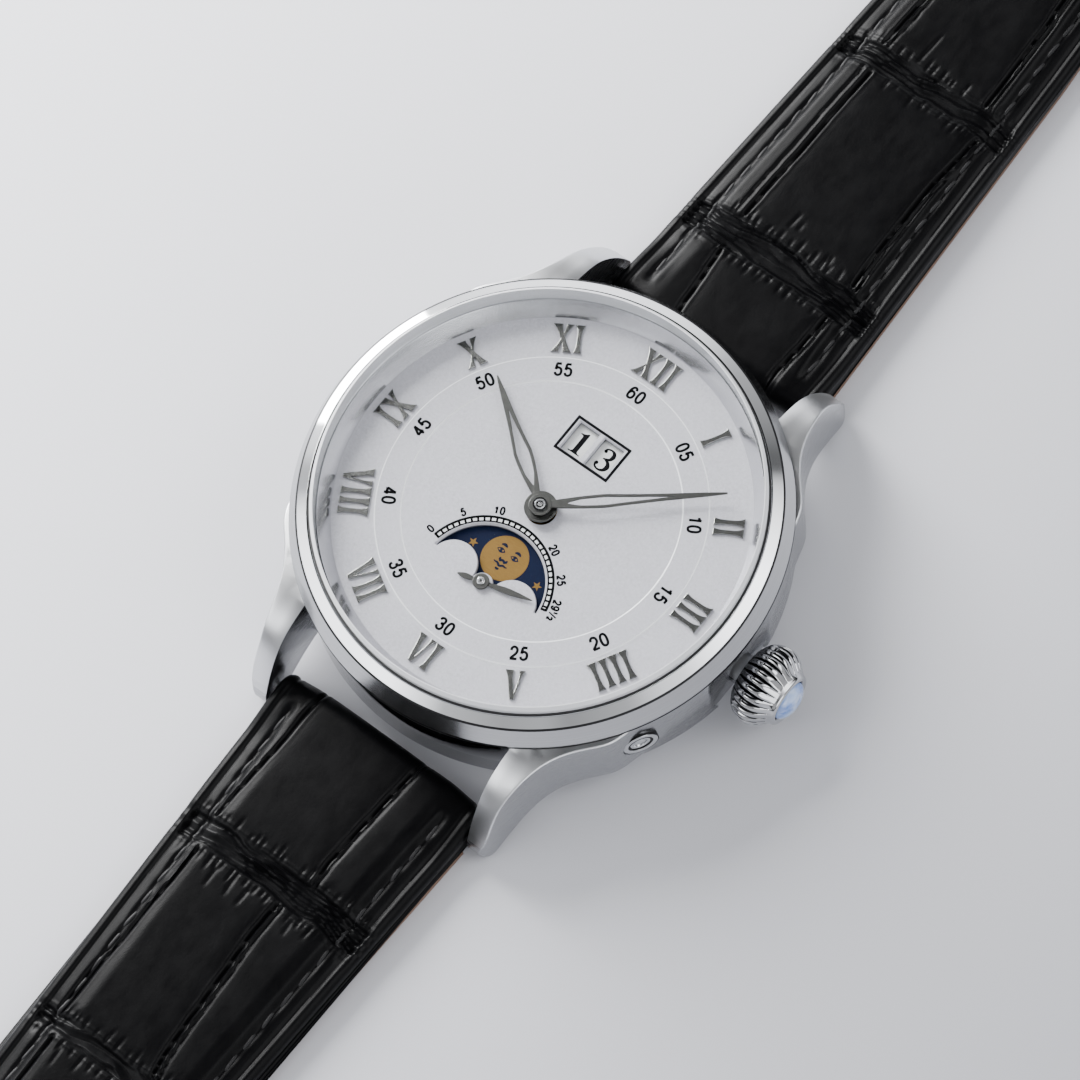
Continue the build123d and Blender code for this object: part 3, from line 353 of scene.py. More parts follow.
def thread_black():
    m = Mat("thread_black_waxed")
    tw = m.noise(1.0, 3.0, 0.6, m.scaled(9.0, 22.0, 9.0))
    m.set(base=m.mixc(m.remap(tw, 0.3, 0.7, 0, 1), (0.010, 0.010, 0.011), (0.014, 0.014, 0.015)), rough=0.50,
          normal=m.bump(tw, 0.5, 0.03), spec=0.25)
    return m.m


def crystal_clear(name="crystal_clear", gloss=1.0, tint=(0.985, 0.99, 0.99)):
    """Clear pane that mirrors by Fresnel and doesn't bend what is behind it."""
    m = bpy.data.materials.new(name)
    m.use_nodes = True
    nt = m.node_tree
    nt.nodes.clear()
    out = nt.nodes.new("ShaderNodeOutputMaterial")
    mix = nt.nodes.new("ShaderNodeMixShader")
    tr = nt.nodes.new("ShaderNodeBsdfTransparent")
    tr.inputs[0].default_value = (*tint, 1)
    gl = nt.nodes.new("ShaderNodeBsdfGlossy")
    gl.inputs["Roughness"].default_value = 0.015
    gl.inputs["Color"].default_value = (1, 1, 1, 1)
    fr = nt.nodes.new("ShaderNodeFresnel")
    fr.inputs["IOR"].default_value = 1.42
    k = nt.nodes.new("ShaderNodeMath")
    k.operation = "MULTIPLY"
    k.inputs[1].default_value = gloss
    nt.links.new(fr.outputs[0], k.inputs[0])
    nt.links.new(k.outputs[0], mix.inputs[0])
    nt.links.new(tr.outputs[0], mix.inputs[1])
    nt.links.new(gl.outputs[0], mix.inputs[2])
    nt.links.new(mix.outputs[0], out.inputs["Surface"])
    return m


def crystal_edge():
    """Ground rim of the pane: part milky, part see-through; the milky white also serves as a painted highlight along
    the rim.
    """
    m = bpy.data.materials.new("crystal_ground_rim_glint")
    m.use_nodes = True
    nt = m.node_tree
    b = nt.nodes["Principled BSDF"]
    out = nt.nodes["Material Output"]
    b.inputs["Base Color"].default_value = (0.86, 0.87, 0.90, 1)
    b.inputs["Roughness"].default_value = 0.16
    b.inputs["Specular IOR Level"].default_value = 0.9
    b.inputs["Coat Weight"].default_value = 0.5
    mix = nt.nodes.new("ShaderNodeMixShader")
    tr = nt.nodes.new("ShaderNodeBsdfTransparent")
    mix.inputs[0].default_value = 0.80
    nt.links.new(tr.outputs[0], mix.inputs[1])
    nt.links.new(b.outputs[0], mix.inputs[2])
    nt.links.new(mix.outputs[0], out.inputs["Surface"])
    return m


def ruby():
    m = Mat("jewel_ruby")
    n = m.noise(3.0, 2.0, 0.5)
    m.set(base=m.mixc(m.remap(n, 0.3, 0.7, 0, 1), (0.60, 0.03, 0.16), (0.42, 0.02, 0.10)), rough=0.06, coat=0.6, coat_rough=0.03)
    return m.m


def cabochon_blue():
    m = Mat("cabochon_milky_blue")
    x, y, z = m.split()
    n = m.noise(0.9, 3.0, 0.5)
    layers = m.noise(1.0, 2.0, 0.5, m.scaled(1.0, 0.35, 1.8))
    c1 = m.mixc(m.remap(layers, 0.3, 0.7, 0, 1), (0.36, 0.52, 0.86), (0.09, 0.20, 0.58))
    m.set(base=m.mixc(m.remap(n, 0.45, 0.7, 0, 0.6), c1, (0.72, 0.80, 0.93)), rough=0.06, coat=1.0, coat_rough=0.03, sss=0.15)
    m.b.inputs["Subsurface Radius"].default_value = (0.0006, 0.0008, 0.0012)
    m.b.inputs["Subsurface Scale"].default_value = 1.0
    return m.m


def rubber_black():
    m = Mat("gasket_rubber")
    g = m.noise(20.0, 3.0, 0.6)
    m.set(base=m.mixc(m.remap(g, 0.3, 0.7, 0, 1), (0.012, 0.012, 0.013), (0.02, 0.02, 0.021)), rough=0.55, normal=m.bump(g, 0.2, 0.004))
    return m.m


def blued_steel():
    m = Mat("screw_blued_steel")
    n = m.noise(2.0, 3.0, 0.6)
    m.set(base=m.mixc(m.remap(n, 0.3, 0.7, 0, 1), (0.035, 0.085, 0.42), (0.05, 0.12, 0.52)), metal=1.0, rough=m.remap(n, 0.3, 0.7, 0.12, 0.2))
    return m.m


# ---------------------------------------------------------------------------
# Mesh helpers, millimetres in
# ---------------------------------------------------------------------------
def put(name, verts, faces, mat, body, replaces=(), slot=None, sharp=32, mats=None, face_mats=None):
    me = bpy.data.meshes.new(name)
    v = (np.asarray(verts, float) * MM).tolist()
    me.from_pydata(v, [], [list(map(int, f)) for f in faces])
    me.validate(clean_customdata=False)
    me.update()
    return dress(name, me, mat, body, replaces, sharp, mats, face_mats)


def dress(name, me, mat, body, replaces=(), sharp=32, mats=None, face_mats=None):
    me.materials.clear()
    for x in (mats or [mat]):
        me.materials.append(x)
    me.polygons.foreach_set("material_index", np.asarray([0] * len(me.polygons) if face_mats is None else face_mats, np.int32))
    me.shade_smooth()
    if sharp is not None:
        me.set_sharp_from_angle(angle=math.radians(sharp))
    ob = bpy.data.objects.new(name, me)
    bpy.context.scene.collection.objects.link(ob)
    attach(ob, body)
    if replaces:
        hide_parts(*replaces)
    return ob


def fillet_poly(pts, radii, n=5):
    """Rounds the corners of a closed 2D polygon."""
    out = []
    k = len(pts)
    for i in range(k):
        p0, p1, p2 = np.array(pts[i - 1], float), np.array(pts[i], float), np.array(pts[(i + 1) % k], float)
        r = radii[i] if isinstance(radii, (list, tuple)) else radii
        a, b = p0 - p1, p2 - p1
        la, lb = np.linalg.norm(a), np.linalg.norm(b)
        if r <= 0 or la < 1e-9 or lb < 1e-9:
            out.append(tuple(p1))
            continue
        a, b = a / la, b / lb
        ang = math.acos(max(-1, min(1, float(a @ b))))
        if ang > math.pi - 0.05 or ang < 0.02:
            out.append(tuple(p1))
            continue
        t = min(r / math.tan(ang / 2), 0.48 * la, 0.48 * lb)
        rr = t * math.tan(ang / 2)
        bis = (a + b) / np.linalg.norm(a + b)
        c = p1 + bis * (rr / math.sin(ang / 2))
        s, e = p1 + a * t - c, p1 + b * t - c
        a0, a1 = math.atan2(s[1], s[0]), math.atan2(e[1], e[0])
        d = (a1 - a0 + math.pi) % (2 * math.pi) - math.pi
        for j in range(n + 1):
            q = a0 + d * j / n
            out.append((c[0] + rr * math.cos(q), c[1] + rr * math.sin(q)))
    return out


def lathe_data(profile, seg=256, centre=(0.0, 0.0), closed=True, turn=None):
    """Verts and faces of a profile of (r, z) spun round Z. A point at r 0 becomes one pole."""
    verts, rows = [], []
    for r, z in profile:
        if r < 1e-6:
            rows.append([len(verts)] * seg)
            verts.append((centre[0], centre[1], z))
        else:
            rows.append(list(range(len(verts), len(verts) + seg)))
            for i in range(seg):
                a = 2 * math.pi * i / seg
                verts.append((centre[0] + r * math.cos(a), centre[1] + r * math.sin(a), z))
    faces = []
    pairs = list(zip(rows, rows[1:])) + ([(rows[-1], rows[0])] if closed else [])
    for ra, rb in pairs:
        if ra[0] == ra[1] and rb[0] == rb[1]:
            continue
        for i in range(seg):
            j = (i + 1) % seg
            q = [ra[i], ra[j], rb[j], rb[i]]
            q = [v for k, v in enumerate(q) if v != q[k - 1]]
            if len(q) >= 3:
                faces.append(q)
    return verts, faces


def lathe(name, profile, mat, body, seg=256, radii=None, n=4, centre=(0.0, 0.0), **kw):
    """The profile runs clockwise seen with r to the right and z up, so that the faces look out."""
    pts = fillet_poly(profile, radii, n) if radii is not None else profile
    area = sum(pts[i - 1][0] * pts[i][1] - pts[i][0] * pts[i - 1][1] for i in range(len(pts)))
    if area < 0:
        pts = pts[::-1]
    v, f = lathe_data(supported(pts), seg, centre)
    return put(name, v, f, mat, body, **kw)


def supported(pts, long=0.30, inset=0.05):
    """Extra rings close to both ends of each long flat, so that its shading stays flat."""
    out = []
    for i, p in enumerate(pts):
        q = pts[(i + 1) % len(pts)]
        out.append(p)
        d = math.hypot(q[0] - p[0], q[1] - p[1])
        if d > long:
            t = inset / d
            out.append((p[0] + (q[0] - p[0]) * t, p[1] + (q[1] - p[1]) * t))
            out.append((q[0] + (p[0] - q[0]) * t, q[1] + (p[1] - q[1]) * t))
    return out


def plate_mesh(name, loops, z0, z1, bevel=0.0, res=2):
    """Flat piece with holes from closed loops of (x, y); its edges are rounded by bevel."""
    cu = bpy.data.curves.new(name, "CURVE")
    cu.dimensions, cu.fill_mode = "2D", "BOTH"
    for loop in loops:
        sp = cu.splines.new("POLY")
        sp.points.add(len(loop) - 1)
        for p, (x, y) in zip(sp.points, loop):
            p.co = (x, y, 0, 1)
        sp.use_cyclic_u = True
    half = (z1 - z0) / 2
    cu.extrude = half - bevel
    cu.bevel_depth = bevel
    cu.bevel_resolution = res
    cu.offset = -bevel
    ob = bpy.data.objects.new(name + "_c", cu)
    bpy.context.scene.collection.objects.link(ob)
    bpy.context.view_layer.update()
    dg = bpy.context.evaluated_depsgraph_get()
    me = bpy.data.meshes.new_from_object(ob.evaluated_get(dg))
    me.materials.clear()
    me.transform(Matrix.Translation((0, 0, (z0 + z1) / 2)))
    me.transform(Matrix.Scale(MM, 4))
    bpy.data.objects.remove(ob)
    bpy.data.curves.remove(cu)
    return me


def merge_meshes(name, meshes, weld=0.0):
    """Joins bare meshes into one; welds vertices closer than weld when it is given."""
    v, f, off = [], [], 0
    for me in meshes:
        co = np.zeros(len(me.vertices) * 3)
        me.vertices.foreach_get("co", co)
        v.append(co.reshape(-1, 3))
        f += [[i + off for i in p.vertices] for p in me.polygons]
        off += len(me.vertices)
        bpy.data.meshes.remove(me)
    out = bpy.data.meshes.new(name)
    out.from_pydata(np.concatenate(v).tolist(), [], f)
    out.update()
    if weld:
        import bmesh
        bm = bmesh.new()
        bm.from_mesh(out)
        bmesh.ops.remove_doubles(bm, verts=bm.verts, dist=weld)
        bm.to_mesh(out)
        bm.free()
    return out


def arc_strip(r0, r1, a0, a1, z0, z1, n=96, centre=(0.0, 0.0)):
    """Printed arc or ring sector as a closed thin solid; returns a bare mesh."""
    full = abs(a1 - a0) > 2 * math.pi - 1e-6
    v, f = [], []
    m = n if full else n + 1
    for i in range(m):
        a = a0 + (a1 - a0) * i / n
        c, s = math.cos(a), math.sin(a)
        for r, z in ((r0, z0), (r1, z0), (r1, z1), (r0, z1)):
            v.append(((centre[0] + r * c) * MM, (centre[1] + r * s) * MM, z * MM))
    for i in range(n):
        p, q = 4 * i, 4 * ((i + 1) % m)
        for k in range(4):
            f.append([p + k, q + k, q + (k + 1) % 4, p + (k + 1) % 4])
    if not full:
        f.append([0, 1, 2, 3])
        e = 4 * n
        f.append([e + 3, e + 2, e + 1, e])
    me = bpy.data.meshes.new("arc")
    me.from_pydata(v, [], f)
    return me


def poly_solid(pts, z0, z1):
    """Convex or simple polygon as a thin prism; returns a bare mesh."""
    n = len(pts)
    v = [(x * MM, y * MM, z0 * MM) for x, y in pts] + [(x * MM, y * MM, z1 * MM) for x, y in pts]
    f = [list(range(n))[::-1], list(range(n, 2 * n))] + [[i, (i + 1) % n, n + (i + 1) % n, n + i] for i in range(n)]
    me = bpy.data.meshes.new("poly")
    me.from_pydata(v, [], f)
    return me


def stroke_outline(pts, widths):
    """Outline of a brush stroke along points with a width at each."""
    p = np.array(pts, float)
    t = np.gradient(p, axis=0)
    t /= np.linalg.norm(t, axis=1)[:, None] + 1e-12
    nrm = np.stack([-t[:, 1], t[:, 0]], 1)
    w = np.array(widths, float)[:, None] / 2
    a, b = p + nrm * w, p - nrm * w
    return [tuple(q) for q in b] + [tuple(q) for q in a[::-1]]


def clock(deg):
    return math.pi / 2 - math.radians(deg)


def boolean_cut(me, cutters, name="cut"):
    """Exact difference of mesh me by cutter meshes; returns a new mesh."""
    ob = bpy.data.objects.new(name, me)
    bpy.context.scene.collection.objects.link(ob)
    cut_obs = []
    for i, c in enumerate(cutters):
        co = bpy.data.objects.new(f"{name}_{i}", c)
        bpy.context.scene.collection.objects.link(co)
        md = ob.modifiers.new(f"b{i}", "BOOLEAN")
        md.operation, md.object, md.solver = "DIFFERENCE", co, "EXACT"
        cut_obs.append(co)
    bpy.context.view_layer.update()
    dg = bpy.context.evaluated_depsgraph_get()
    out = bpy.data.meshes.new_from_object(ob.evaluated_get(dg))
    for o in [ob] + cut_obs:
        bpy.data.objects.remove(o)
    return out


# ---------------------------------------------------------------------------
# Materials
# ---------------------------------------------------------------------------
M_POL = steel_polished()
M_BEZEL = steel_bezel()
M_BUCKLE = steel_polished("buckle_satin", rough=0.26, wobble=0.010)
M_CASE = steel_brushed("case_brushed_polished_gap_shade", polish_up=True)
M_BACK = steel_brushed("case_back_brushed", (0.60, 0.605, 0.62), lines=(0.6, 0.6, 20.0), rough=0.22)
M_FLANGE = satin_metal("flange_satin", (0.74, 0.74, 0.76), rough=0.17, grain=14.0, depth=0.002, tint=0.96)
M_DIAL = dial_silver()
# painted shade: near black material for the crown's groove bottoms, where shade falls between the ribs
M_GROOVE_SHADE = satin_metal("crown_groove_painted_shade", (0.045, 0.045, 0.047), rough=0.35, grain=12.0, depth=0.002)
M_LINE = satin_metal("joint_shadow_steel", (0.035, 0.035, 0.037), rough=0.5, grain=12.0, depth=0.002)
M_WALL = paint("dial_cut_wall", (0.93, 0.93, 0.95), rough=0.25, vary=0.97)
M_BLACK = paint("print_black", (0.003, 0.003, 0.004), rough=0.5, spec=0.08)
M_NUM = satin_metal("numeral_dark_metal", (0.37, 0.37, 0.36), rough=0.235, grain=16.0, depth=0.002)
M_HAND = satin_metal("hand_dark_metal", (0.135, 0.135, 0.130), rough=0.33, grain=18.0, depth=0.002)
M_CAP = satin_metal("hand_cap_metal", (0.80, 0.80, 0.82), rough=0.26, grain=16.0, depth=0.002)
M_EDGE = crystal_edge()
M_NAVY = paint("moon_disc_navy", (0.0062, 0.0108, 0.034), rough=0.36, grain=6.0, vary=0.85, spec=0.10)
M_GOLD = moon_gold()
M_DATE = paint("date_disc_white", (0.80, 0.80, 0.80), rough=0.45, grain=24.0, vary=0.97)
M_RULE = paint("scale_cell_white", (0.78, 0.78, 0.80), rough=0.4, vary=0.96)
M_GLASS = crystal_clear("crystal_clear", gloss=0.24)
M_GLASS_BACK = crystal_clear("crystal_back", gloss=0.8)
M_RUBBER = rubber_black()
M_LEATHER = leather_black()
M_LINING = leather_lining()
M_THREAD = thread_black()
M_CAB = cabochon_blue()
M_RUBY = ruby()
M_BLUED = blued_steel()
M_PLATE = perlage_metal("main_plate_perlage", (0.62, 0.61, 0.58))
M_BRIDGE = striped_metal("bridge_striped_nickel", (0.66, 0.65, 0.62), 1.35, math.radians(35))
M_COCK = striped_metal("cock_striped_nickel", (0.66, 0.65, 0.62), 1.35, math.radians(35))
M_ROTOR = striped_metal("rotor_striped", (0.64, 0.63, 0.60), 1.5, math.radians(-20), rough=0.2)
M_HOLDER = satin_metal("holder_ring_satin", (0.58, 0.58, 0.57), rough=0.35)
M_BRASS = sunray_metal("wheel_gilt", (0.72, 0.53, 0.25))
M_RATCHET = sunray_metal("ratchet_steel", (0.62, 0.63, 0.64), (1.169, 6.617), rough=0.16)
M_TOOL = steel_polished("tool_steel_polished", (0.58, 0.59, 0.60), rough=0.12)
M_SPRING = steel_polished("spring_steel_polished", (0.42, 0.45, 0.52), rough=0.14)
M_BAR = steel_polished("spring_bar_steel", (0.66, 0.67, 0.68), rough=0.16)


def coat(nodes, mat):
    for n in nodes:
        me = NODES[n].data
        me.materials.clear()
        me.materials.append(mat)


coat(["case_middle", "crown_tube"], M_CASE)
coat(["corrector_bush", "corrector_pusher"], M_POL)
coat(["case_gaskets", "crown_gasket"], M_RUBBER)
coat(["main_plate"], M_PLATE)
coat(["barrel_bridge", "train_bridge"], M_BRIDGE)
coat(["balance_cock", "pallet_bridge"], M_COCK)
coat(["movement_holder_ring"], M_HOLDER)
coat(["rotor"], M_ROTOR)
coat(["centre_wheel", "third_wheel", "fourth_wheel", "balance_wheel", "mainspring_barrel", "hour_wheel", "minute_wheel"], M_BRASS)
coat(["ratchet_wheel", "crown_wheel"], M_RATCHET)
coat(["cannon_pinion", "escape_wheel", "pallet_fork", "stem_pinions", "winding_stem", "rotor_bearing"], M_TOOL)
coat(["bridge_screws"], M_BLUED)
coat(["hairspring", "mainspring"], M_SPRING)
coat(["jewels"], M_RUBY)
coat(["spring_bars", "buckle_spring_bar", "case_back_screws"], M_BAR)

# ---------------------------------------------------------------------------
# Case: bezel, crystal, flange, back
# ---------------------------------------------------------------------------
lathe("bezel_ring", [(17.75, 9.5), (19.85, 9.5), (20.0, 9.62), (20.0, 9.80), (19.26, 11.34), (19.16, 11.42), (18.32, 11.86), (18.2, 11.84), (18.2, 10.96), (17.75, 10.96)],
      M_BEZEL, "case", seg=360, radii=[0, 0.05, 0.05, 0.09, 0.05, 0.05, 0.05, 0.02, 0, 0], n=5, replaces=["bezel"], slot="polished_steel", sharp=50)
# painted shade: a dark ring standing in for the dark line reflected at the bend between the two bezel bands
lathe("bezel_crease_shade_line", [(19.10, 11.38), (19.275, 11.24), (19.290, 11.315), (19.275, 11.36), (19.19, 11.415), (19.135, 11.446)], M_LINE, "case", seg=300,
      slot="polished_steel", sharp=30)
lathe("bezel_joint", [(19.7, 9.46), (20.02, 9.46), (20.02, 9.53), (19.7, 9.53)], M_LINE, "case", seg=300, slot="polished_steel", sharp=30)
lathe("crystal_pane", [(0, 10.97), (17.72, 10.97), (17.72, 12.66), (0, 12.66)], M_GLASS, "case", seg=240,
      replaces=["crystal"], slot="clear_crystal", sharp=30)
# the rim's milky white is partly a ground finish and partly a painted highlight
lathe("crystal_ground_rim_glint", [(17.725, 10.97), (18.03, 10.97), (18.03, 12.34), (17.80, 12.66), (17.725, 12.66)], M_EDGE, "case", seg=300,
      radii=[0, 0.03, 0.05, 0.05, 0], n=3, replaces=["crystal"], slot="clear_crystal", sharp=30)
lathe("flange_ring", [(16.69, 9.5), (17.72, 9.5), (17.72, 10.95), (17.62, 10.95)], M_FLANGE, "case", seg=300, radii=[0.01, 0, 0, 0.02],
      replaces=["inner_flange_ring"], slot="polished_steel", sharp=50)
lathe("back_crystal_pane", [(0, 0), (15.25, 0), (15.25, 0.5), (15.85, 0.5), (15.85, 1.5), (0, 1.5)], M_GLASS_BACK, "case", seg=200,
      radii=[0, 0.06, 0.02, 0.04, 0.04, 0], n=3, replaces=["case_back_crystal"], slot="clear_crystal", sharp=50)


def back_ring():
    v, f = lathe_data(fillet_poly([(15.3, 0), (17.3, 0), (18.2, 0.9), (18.4, 1.3), (18.4, 2.58), (16.4, 2.58), (16.4, 1.6), (15.9, 1.6), (15.9, 0.5), (15.3, 0.5)],
                                  [0.05, 0.12, 0.1, 0.1, 0.08, 0, 0, 0, 0, 0.02], 4), 240)
    me = bpy.data.meshes.new("back_ring")
    me.from_pydata((np.array(v) * MM).tolist(), [], f)
    cuts = []
    for i in range(6):
        a = math.radians(30 + 60 * i)
        c = (16.95 * math.cos(a), 16.95 * math.sin(a))
        cv, cf = lathe_data([(0, -0.5), (0.79, -0.5), (0.79, 0.0), (0.75, 0.05), (0.75, 0.75), (0.40, 0.75), (0.40, 3.2), (0, 3.2)], 40, c)
        cm = bpy.data.meshes.new("c")
        cm.from_pydata((np.array(cv) * MM).tolist(), [], cf)
        cuts.append(cm)
    return boolean_cut(me, cuts, "back")


dress("back_ring_brushed", back_ring(), M_BACK, "case", ["case_back_ring"], 30)


# ---------------------------------------------------------------------------
# Dial
# ---------------------------------------------------------------------------
def mesh_from(verts, faces, name="m"):
    me = bpy.data.meshes.new(name)
    me.from_pydata((np.asarray(verts, float) * MM).tolist(), [], faces)
    return me


def loft(levels):
    """levels: list of (outline, z), all with the same number of points."""
    n = len(levels[0][0])
    v, f = [], []
    for pts, z in levels:
        v += [(x, y, z) for x, y in pts]
    f.append(list(range(n))[::-1])
    f.append([(len(levels) - 1) * n + i for i in range(n)])
    for k in range(len(levels) - 1):
        for i in range(n):
            j = (i + 1) % n
            f.append([k * n + i, k * n + j, (k + 1) * n + j, (k + 1) * n + i])
    return mesh_from(v, f)


def aperture(ra, rh, rb, tip=0.55, xh=2.92):
    """Moon window: large arc, two humps and the hub, counter-clockwise."""
    cx, cy = MOON
    out = []
    ta = math.asin(tip / ra)
    for i in range(81):
        t = ta + (math.pi - 2 * ta) * i / 80
        out.append((cx + ra * math.cos(t), cy + ra * math.sin(t)))
    th = math.asin(tip / rh)
    d = xh
    xi = (rb * rb + d * d - rh * rh) / (2 * d)
    yi = math.sqrt(max(1e-6, rb * rb - xi * xi))
    tin = math.atan2(yi, xi - d)             # right hump, angle where it meets the hub
    for i in range(33):                      # left hump, tip to hub
        t = (math.pi - th) + ((math.pi - tin) - (math.pi - th)) * i / 32
        out.append((cx - d + rh * math.cos(t), cy + rh * math.sin(t)))
    tb = math.atan2(yi, xi)
    for i in range(1, 24):                   # hub, over the top
        t = (math.pi - tb) + (tb - (math.pi - tb)) * i / 24
        out.append((cx + rb * math.cos(t), cy + rb * math.sin(t)))
    for i in range(33):                      # right hump, hub to tip
        t = tin + (th - tin) * i / 32
        out.append((cx + d + rh * math.cos(t), cy + rh * math.sin(t)))
    return out


def rect(cx, cy, hx, hy, r=0.05, n=4):
    return fillet_poly([(cx - hx, cy - hy), (cx + hx, cy - hy), (cx + hx, cy + hy), (cx - hx, cy + hy)], r, n)


def make_dial():
    prof = [(0, 9.1), (17.2, 9.1), (17.2, 9.5), (13.26, 9.5), (13.18, 9.56), (11.20, 9.56), (11.12, 9.5), (0, 9.5)]
    v, f = lathe_data(prof, 240)
    me = mesh_from(v, f, "dial")
    cuts = [loft([(aperture(5.0, 2.02, 0.92), 8.9), (aperture(5.0, 2.02, 0.92), 9.30), (aperture(5.17, 1.95, 0.86, 0.42), 9.52)])]
    for cx in (-1.24, 1.21):
        cuts.append(loft([(rect(cx, 6.5, 0.94, 1.32), 8.9), (rect(cx, 6.5, 0.94, 1.32), 9.32), (rect(cx, 6.5, 1.07, 1.45, 0.03), 9.52)]))
    for r, c in ((1.25, (0, 0)), (0.36, MOON)):
        cv, cf = lathe_data([(0, 8.9), (r, 8.9), (r, 9.7), (0, 9.7)], 48, c)
        cuts.append(mesh_from(cv, cf))
    return boolean_cut(me, cuts, "dialcut")


dress("dial_plate", make_dial(), M_DIAL, "case", ["dial"], 25)


def track_edges():
    out = []
    for ri, ro in (((13.165, 9.567), (13.285, 9.502)), ((11.095, 9.502), (11.215, 9.567))):
        v, f = lathe_data([(ri[0], ri[1] - 0.02), (ro[0], ro[1] - 0.02), ro, ri], 360)
        out.append(mesh_from(v, f))
    return merge_meshes("edges", out)


dress("dial_track_edges", track_edges(), M_WALL, "case", sharp=25)


def poly_strip(pts, widths, z0, z1):
    """Brush line as quads, so that it may bend freely; closed thin solid."""
    p = np.array(pts, float)
    t = np.gradient(p, axis=0)
    t /= np.linalg.norm(t, axis=1)[:, None] + 1e-12
    nrm = np.stack([-t[:, 1], t[:, 0]], 1)
    w = np.array(widths, float)[:, None] / 2
    a, b = p + nrm * w, p - nrm * w
    v, f = [], []
    for q, r in zip(a, b):
        v += [(*r, z0), (*q, z0), (*q, z1), (*r, z1)]
    n = len(p)
    for i in range(n - 1):
        for k in range(4):
            f.append([4 * i + k, 4 * i + (k + 1) % 4, 4 * (i + 1) + (k + 1) % 4, 4 * (i + 1) + k][::-1])
    f.append([0, 1, 2, 3])
    e = 4 * (n - 1)
    f.append([e + 3, e + 2, e + 1, e])
    me = mesh_from(v, f)
    return me


def spline_pts(points, widths, sub):
    """Catmull-Rom through the points."""
    P = [np.array(p, float) for p in points]
    P = [2 * P[0] - P[1]] + P + [2 * P[-1] - P[-2]]
    W = [widths[0]] + list(widths) + [widths[-1]]
    out, ws = [], []
    for i in range(1, len(P) - 2):
        for j in range(sub):
            t = j / sub
            a, b, c_, d = P[i - 1], P[i], P[i + 1], P[i + 2]
            out.append(0.5 * ((2 * b) + (-a + c_) * t + (2 * a - 5 * b + 4 * c_ - d) * t * t + (-a + 3 * b - 3 * c_ + d) * t ** 3))
            ws.append(W[i] + (W[i + 1] - W[i]) * t)
    out.append(P[-2])
    ws.append(W[-2])
    return [tuple(o) for o in out], ws


W = 0.44
SANS = {
    "1": [([(0.60 * W, 0.0), (0.60 * W, 1.0)], 0), ([(0.63 * W, 0.985), (0.50 * W, 0.86), (0.32 * W, 0.80), (0.06 * W, 0.775)], 1)],
    "2": [([(0.02 * W, 0.70), (0.08 * W, 0.88), (0.30 * W, 0.99), (0.55 * W, 1.0), (0.86 * W, 0.91), (0.99 * W, 0.72), (0.90 * W, 0.53), (0.52 * W, 0.28), (0.18 * W, 0.12), (0.04 * W, 0.0)], 1),
          ([(-0.08 * W, 0.0), (1.06 * W, 0.0)], 0)],
    "3": [([(0.02 * W, 0.76), (0.14 * W, 0.93), (0.48 * W, 1.0), (0.83 * W, 0.93), (0.93 * W, 0.75), (0.80 * W, 0.58), (0.38 * W, 0.53)], 1),
          ([(0.38 * W, 0.53), (0.84 * W, 0.48), (1.0 * W, 0.27), (0.86 * W, 0.06), (0.48 * W, 0.0), (0.13 * W, 0.08), (0.0, 0.27)], 1)],
    "4": [([(0.74 * W, 0.0), (0.74 * W, 1.0)], 0), ([(0.76 * W, 0.98), (-0.04 * W, 0.27)], 0), ([(-0.10 * W, 0.26), (1.10 * W, 0.26)], 0)],
    "5": [([(0.94 * W, 1.0), (0.12 * W, 1.0)], 0), ([(0.20 * W, 1.0), (0.07 * W, 0.48)], 0),
          ([(0.06 * W, 0.49), (0.28 * W, 0.63), (0.60 * W, 0.64), (0.92 * W, 0.52), (1.0 * W, 0.31), (0.88 * W, 0.09), (0.48 * W, 0.0), (0.13 * W, 0.07), (0.0, 0.24)], 1)],
    "6": [([(0.95 * W, 0.78), (0.82 * W, 0.94), (0.52 * W, 1.0), (0.17 * W, 0.86), (0.01 * W, 0.52), (0.02 * W, 0.24), (0.17 * W, 0.05), (0.50 * W, 0.0), (0.87 * W, 0.09), (1.0 * W, 0.31), (0.89 * W, 0.53),
            (0.52 * W, 0.62), (0.16 * W, 0.52), (0.02 * W, 0.34)], 1)],
}
SANS["9"] = [([(W - x, 1.0 - y) for x, y in SANS["6"][0][0]], 1)]
SANS["0"] = [([(W / 2 + W / 2 * math.copysign(abs(math.cos(t)) ** 0.85, math.cos(t)), 0.5 + 0.5 * math.copysign(abs(math.sin(t)) ** 0.85, math.sin(t))) for t in np.linspace(0, 2 * math.pi, 41)], 0)]


def sans(label, height, line, cx, cy, rot, z0, z1, step=0.60, stretch=1.0):
    """Plain figures from even strokes: height is the outer height, line the stroke width."""
    k = height - line
    total = (step * (len(label) - 1) + W) * stretch
    c, s = math.cos(rot), math.sin(rot)
    out = []
    for i, ch in enumerate(label):
        for pts, curved in SANS[ch]:
            p = spline_pts(pts, [1.0] * len(pts), 6)[0] if curved else pts
            if len(p) == 2:
                (ax, ay), (bx, by) = p
                p = [(ax + (bx - ax) * j / 3, ay + (by - ay) * j / 3) for j in range(4)]
            q = []
            for x, y in p:
                x = ((x + step * i) * stretch - total / 2) * k
                y = (y - 0.5) * k
                q.append((cx + x * c - y * s, cy + x * s + y * c))
            n = len(q)
            out.append(poly_strip(q, [line] * n, z0, z1))
    return out


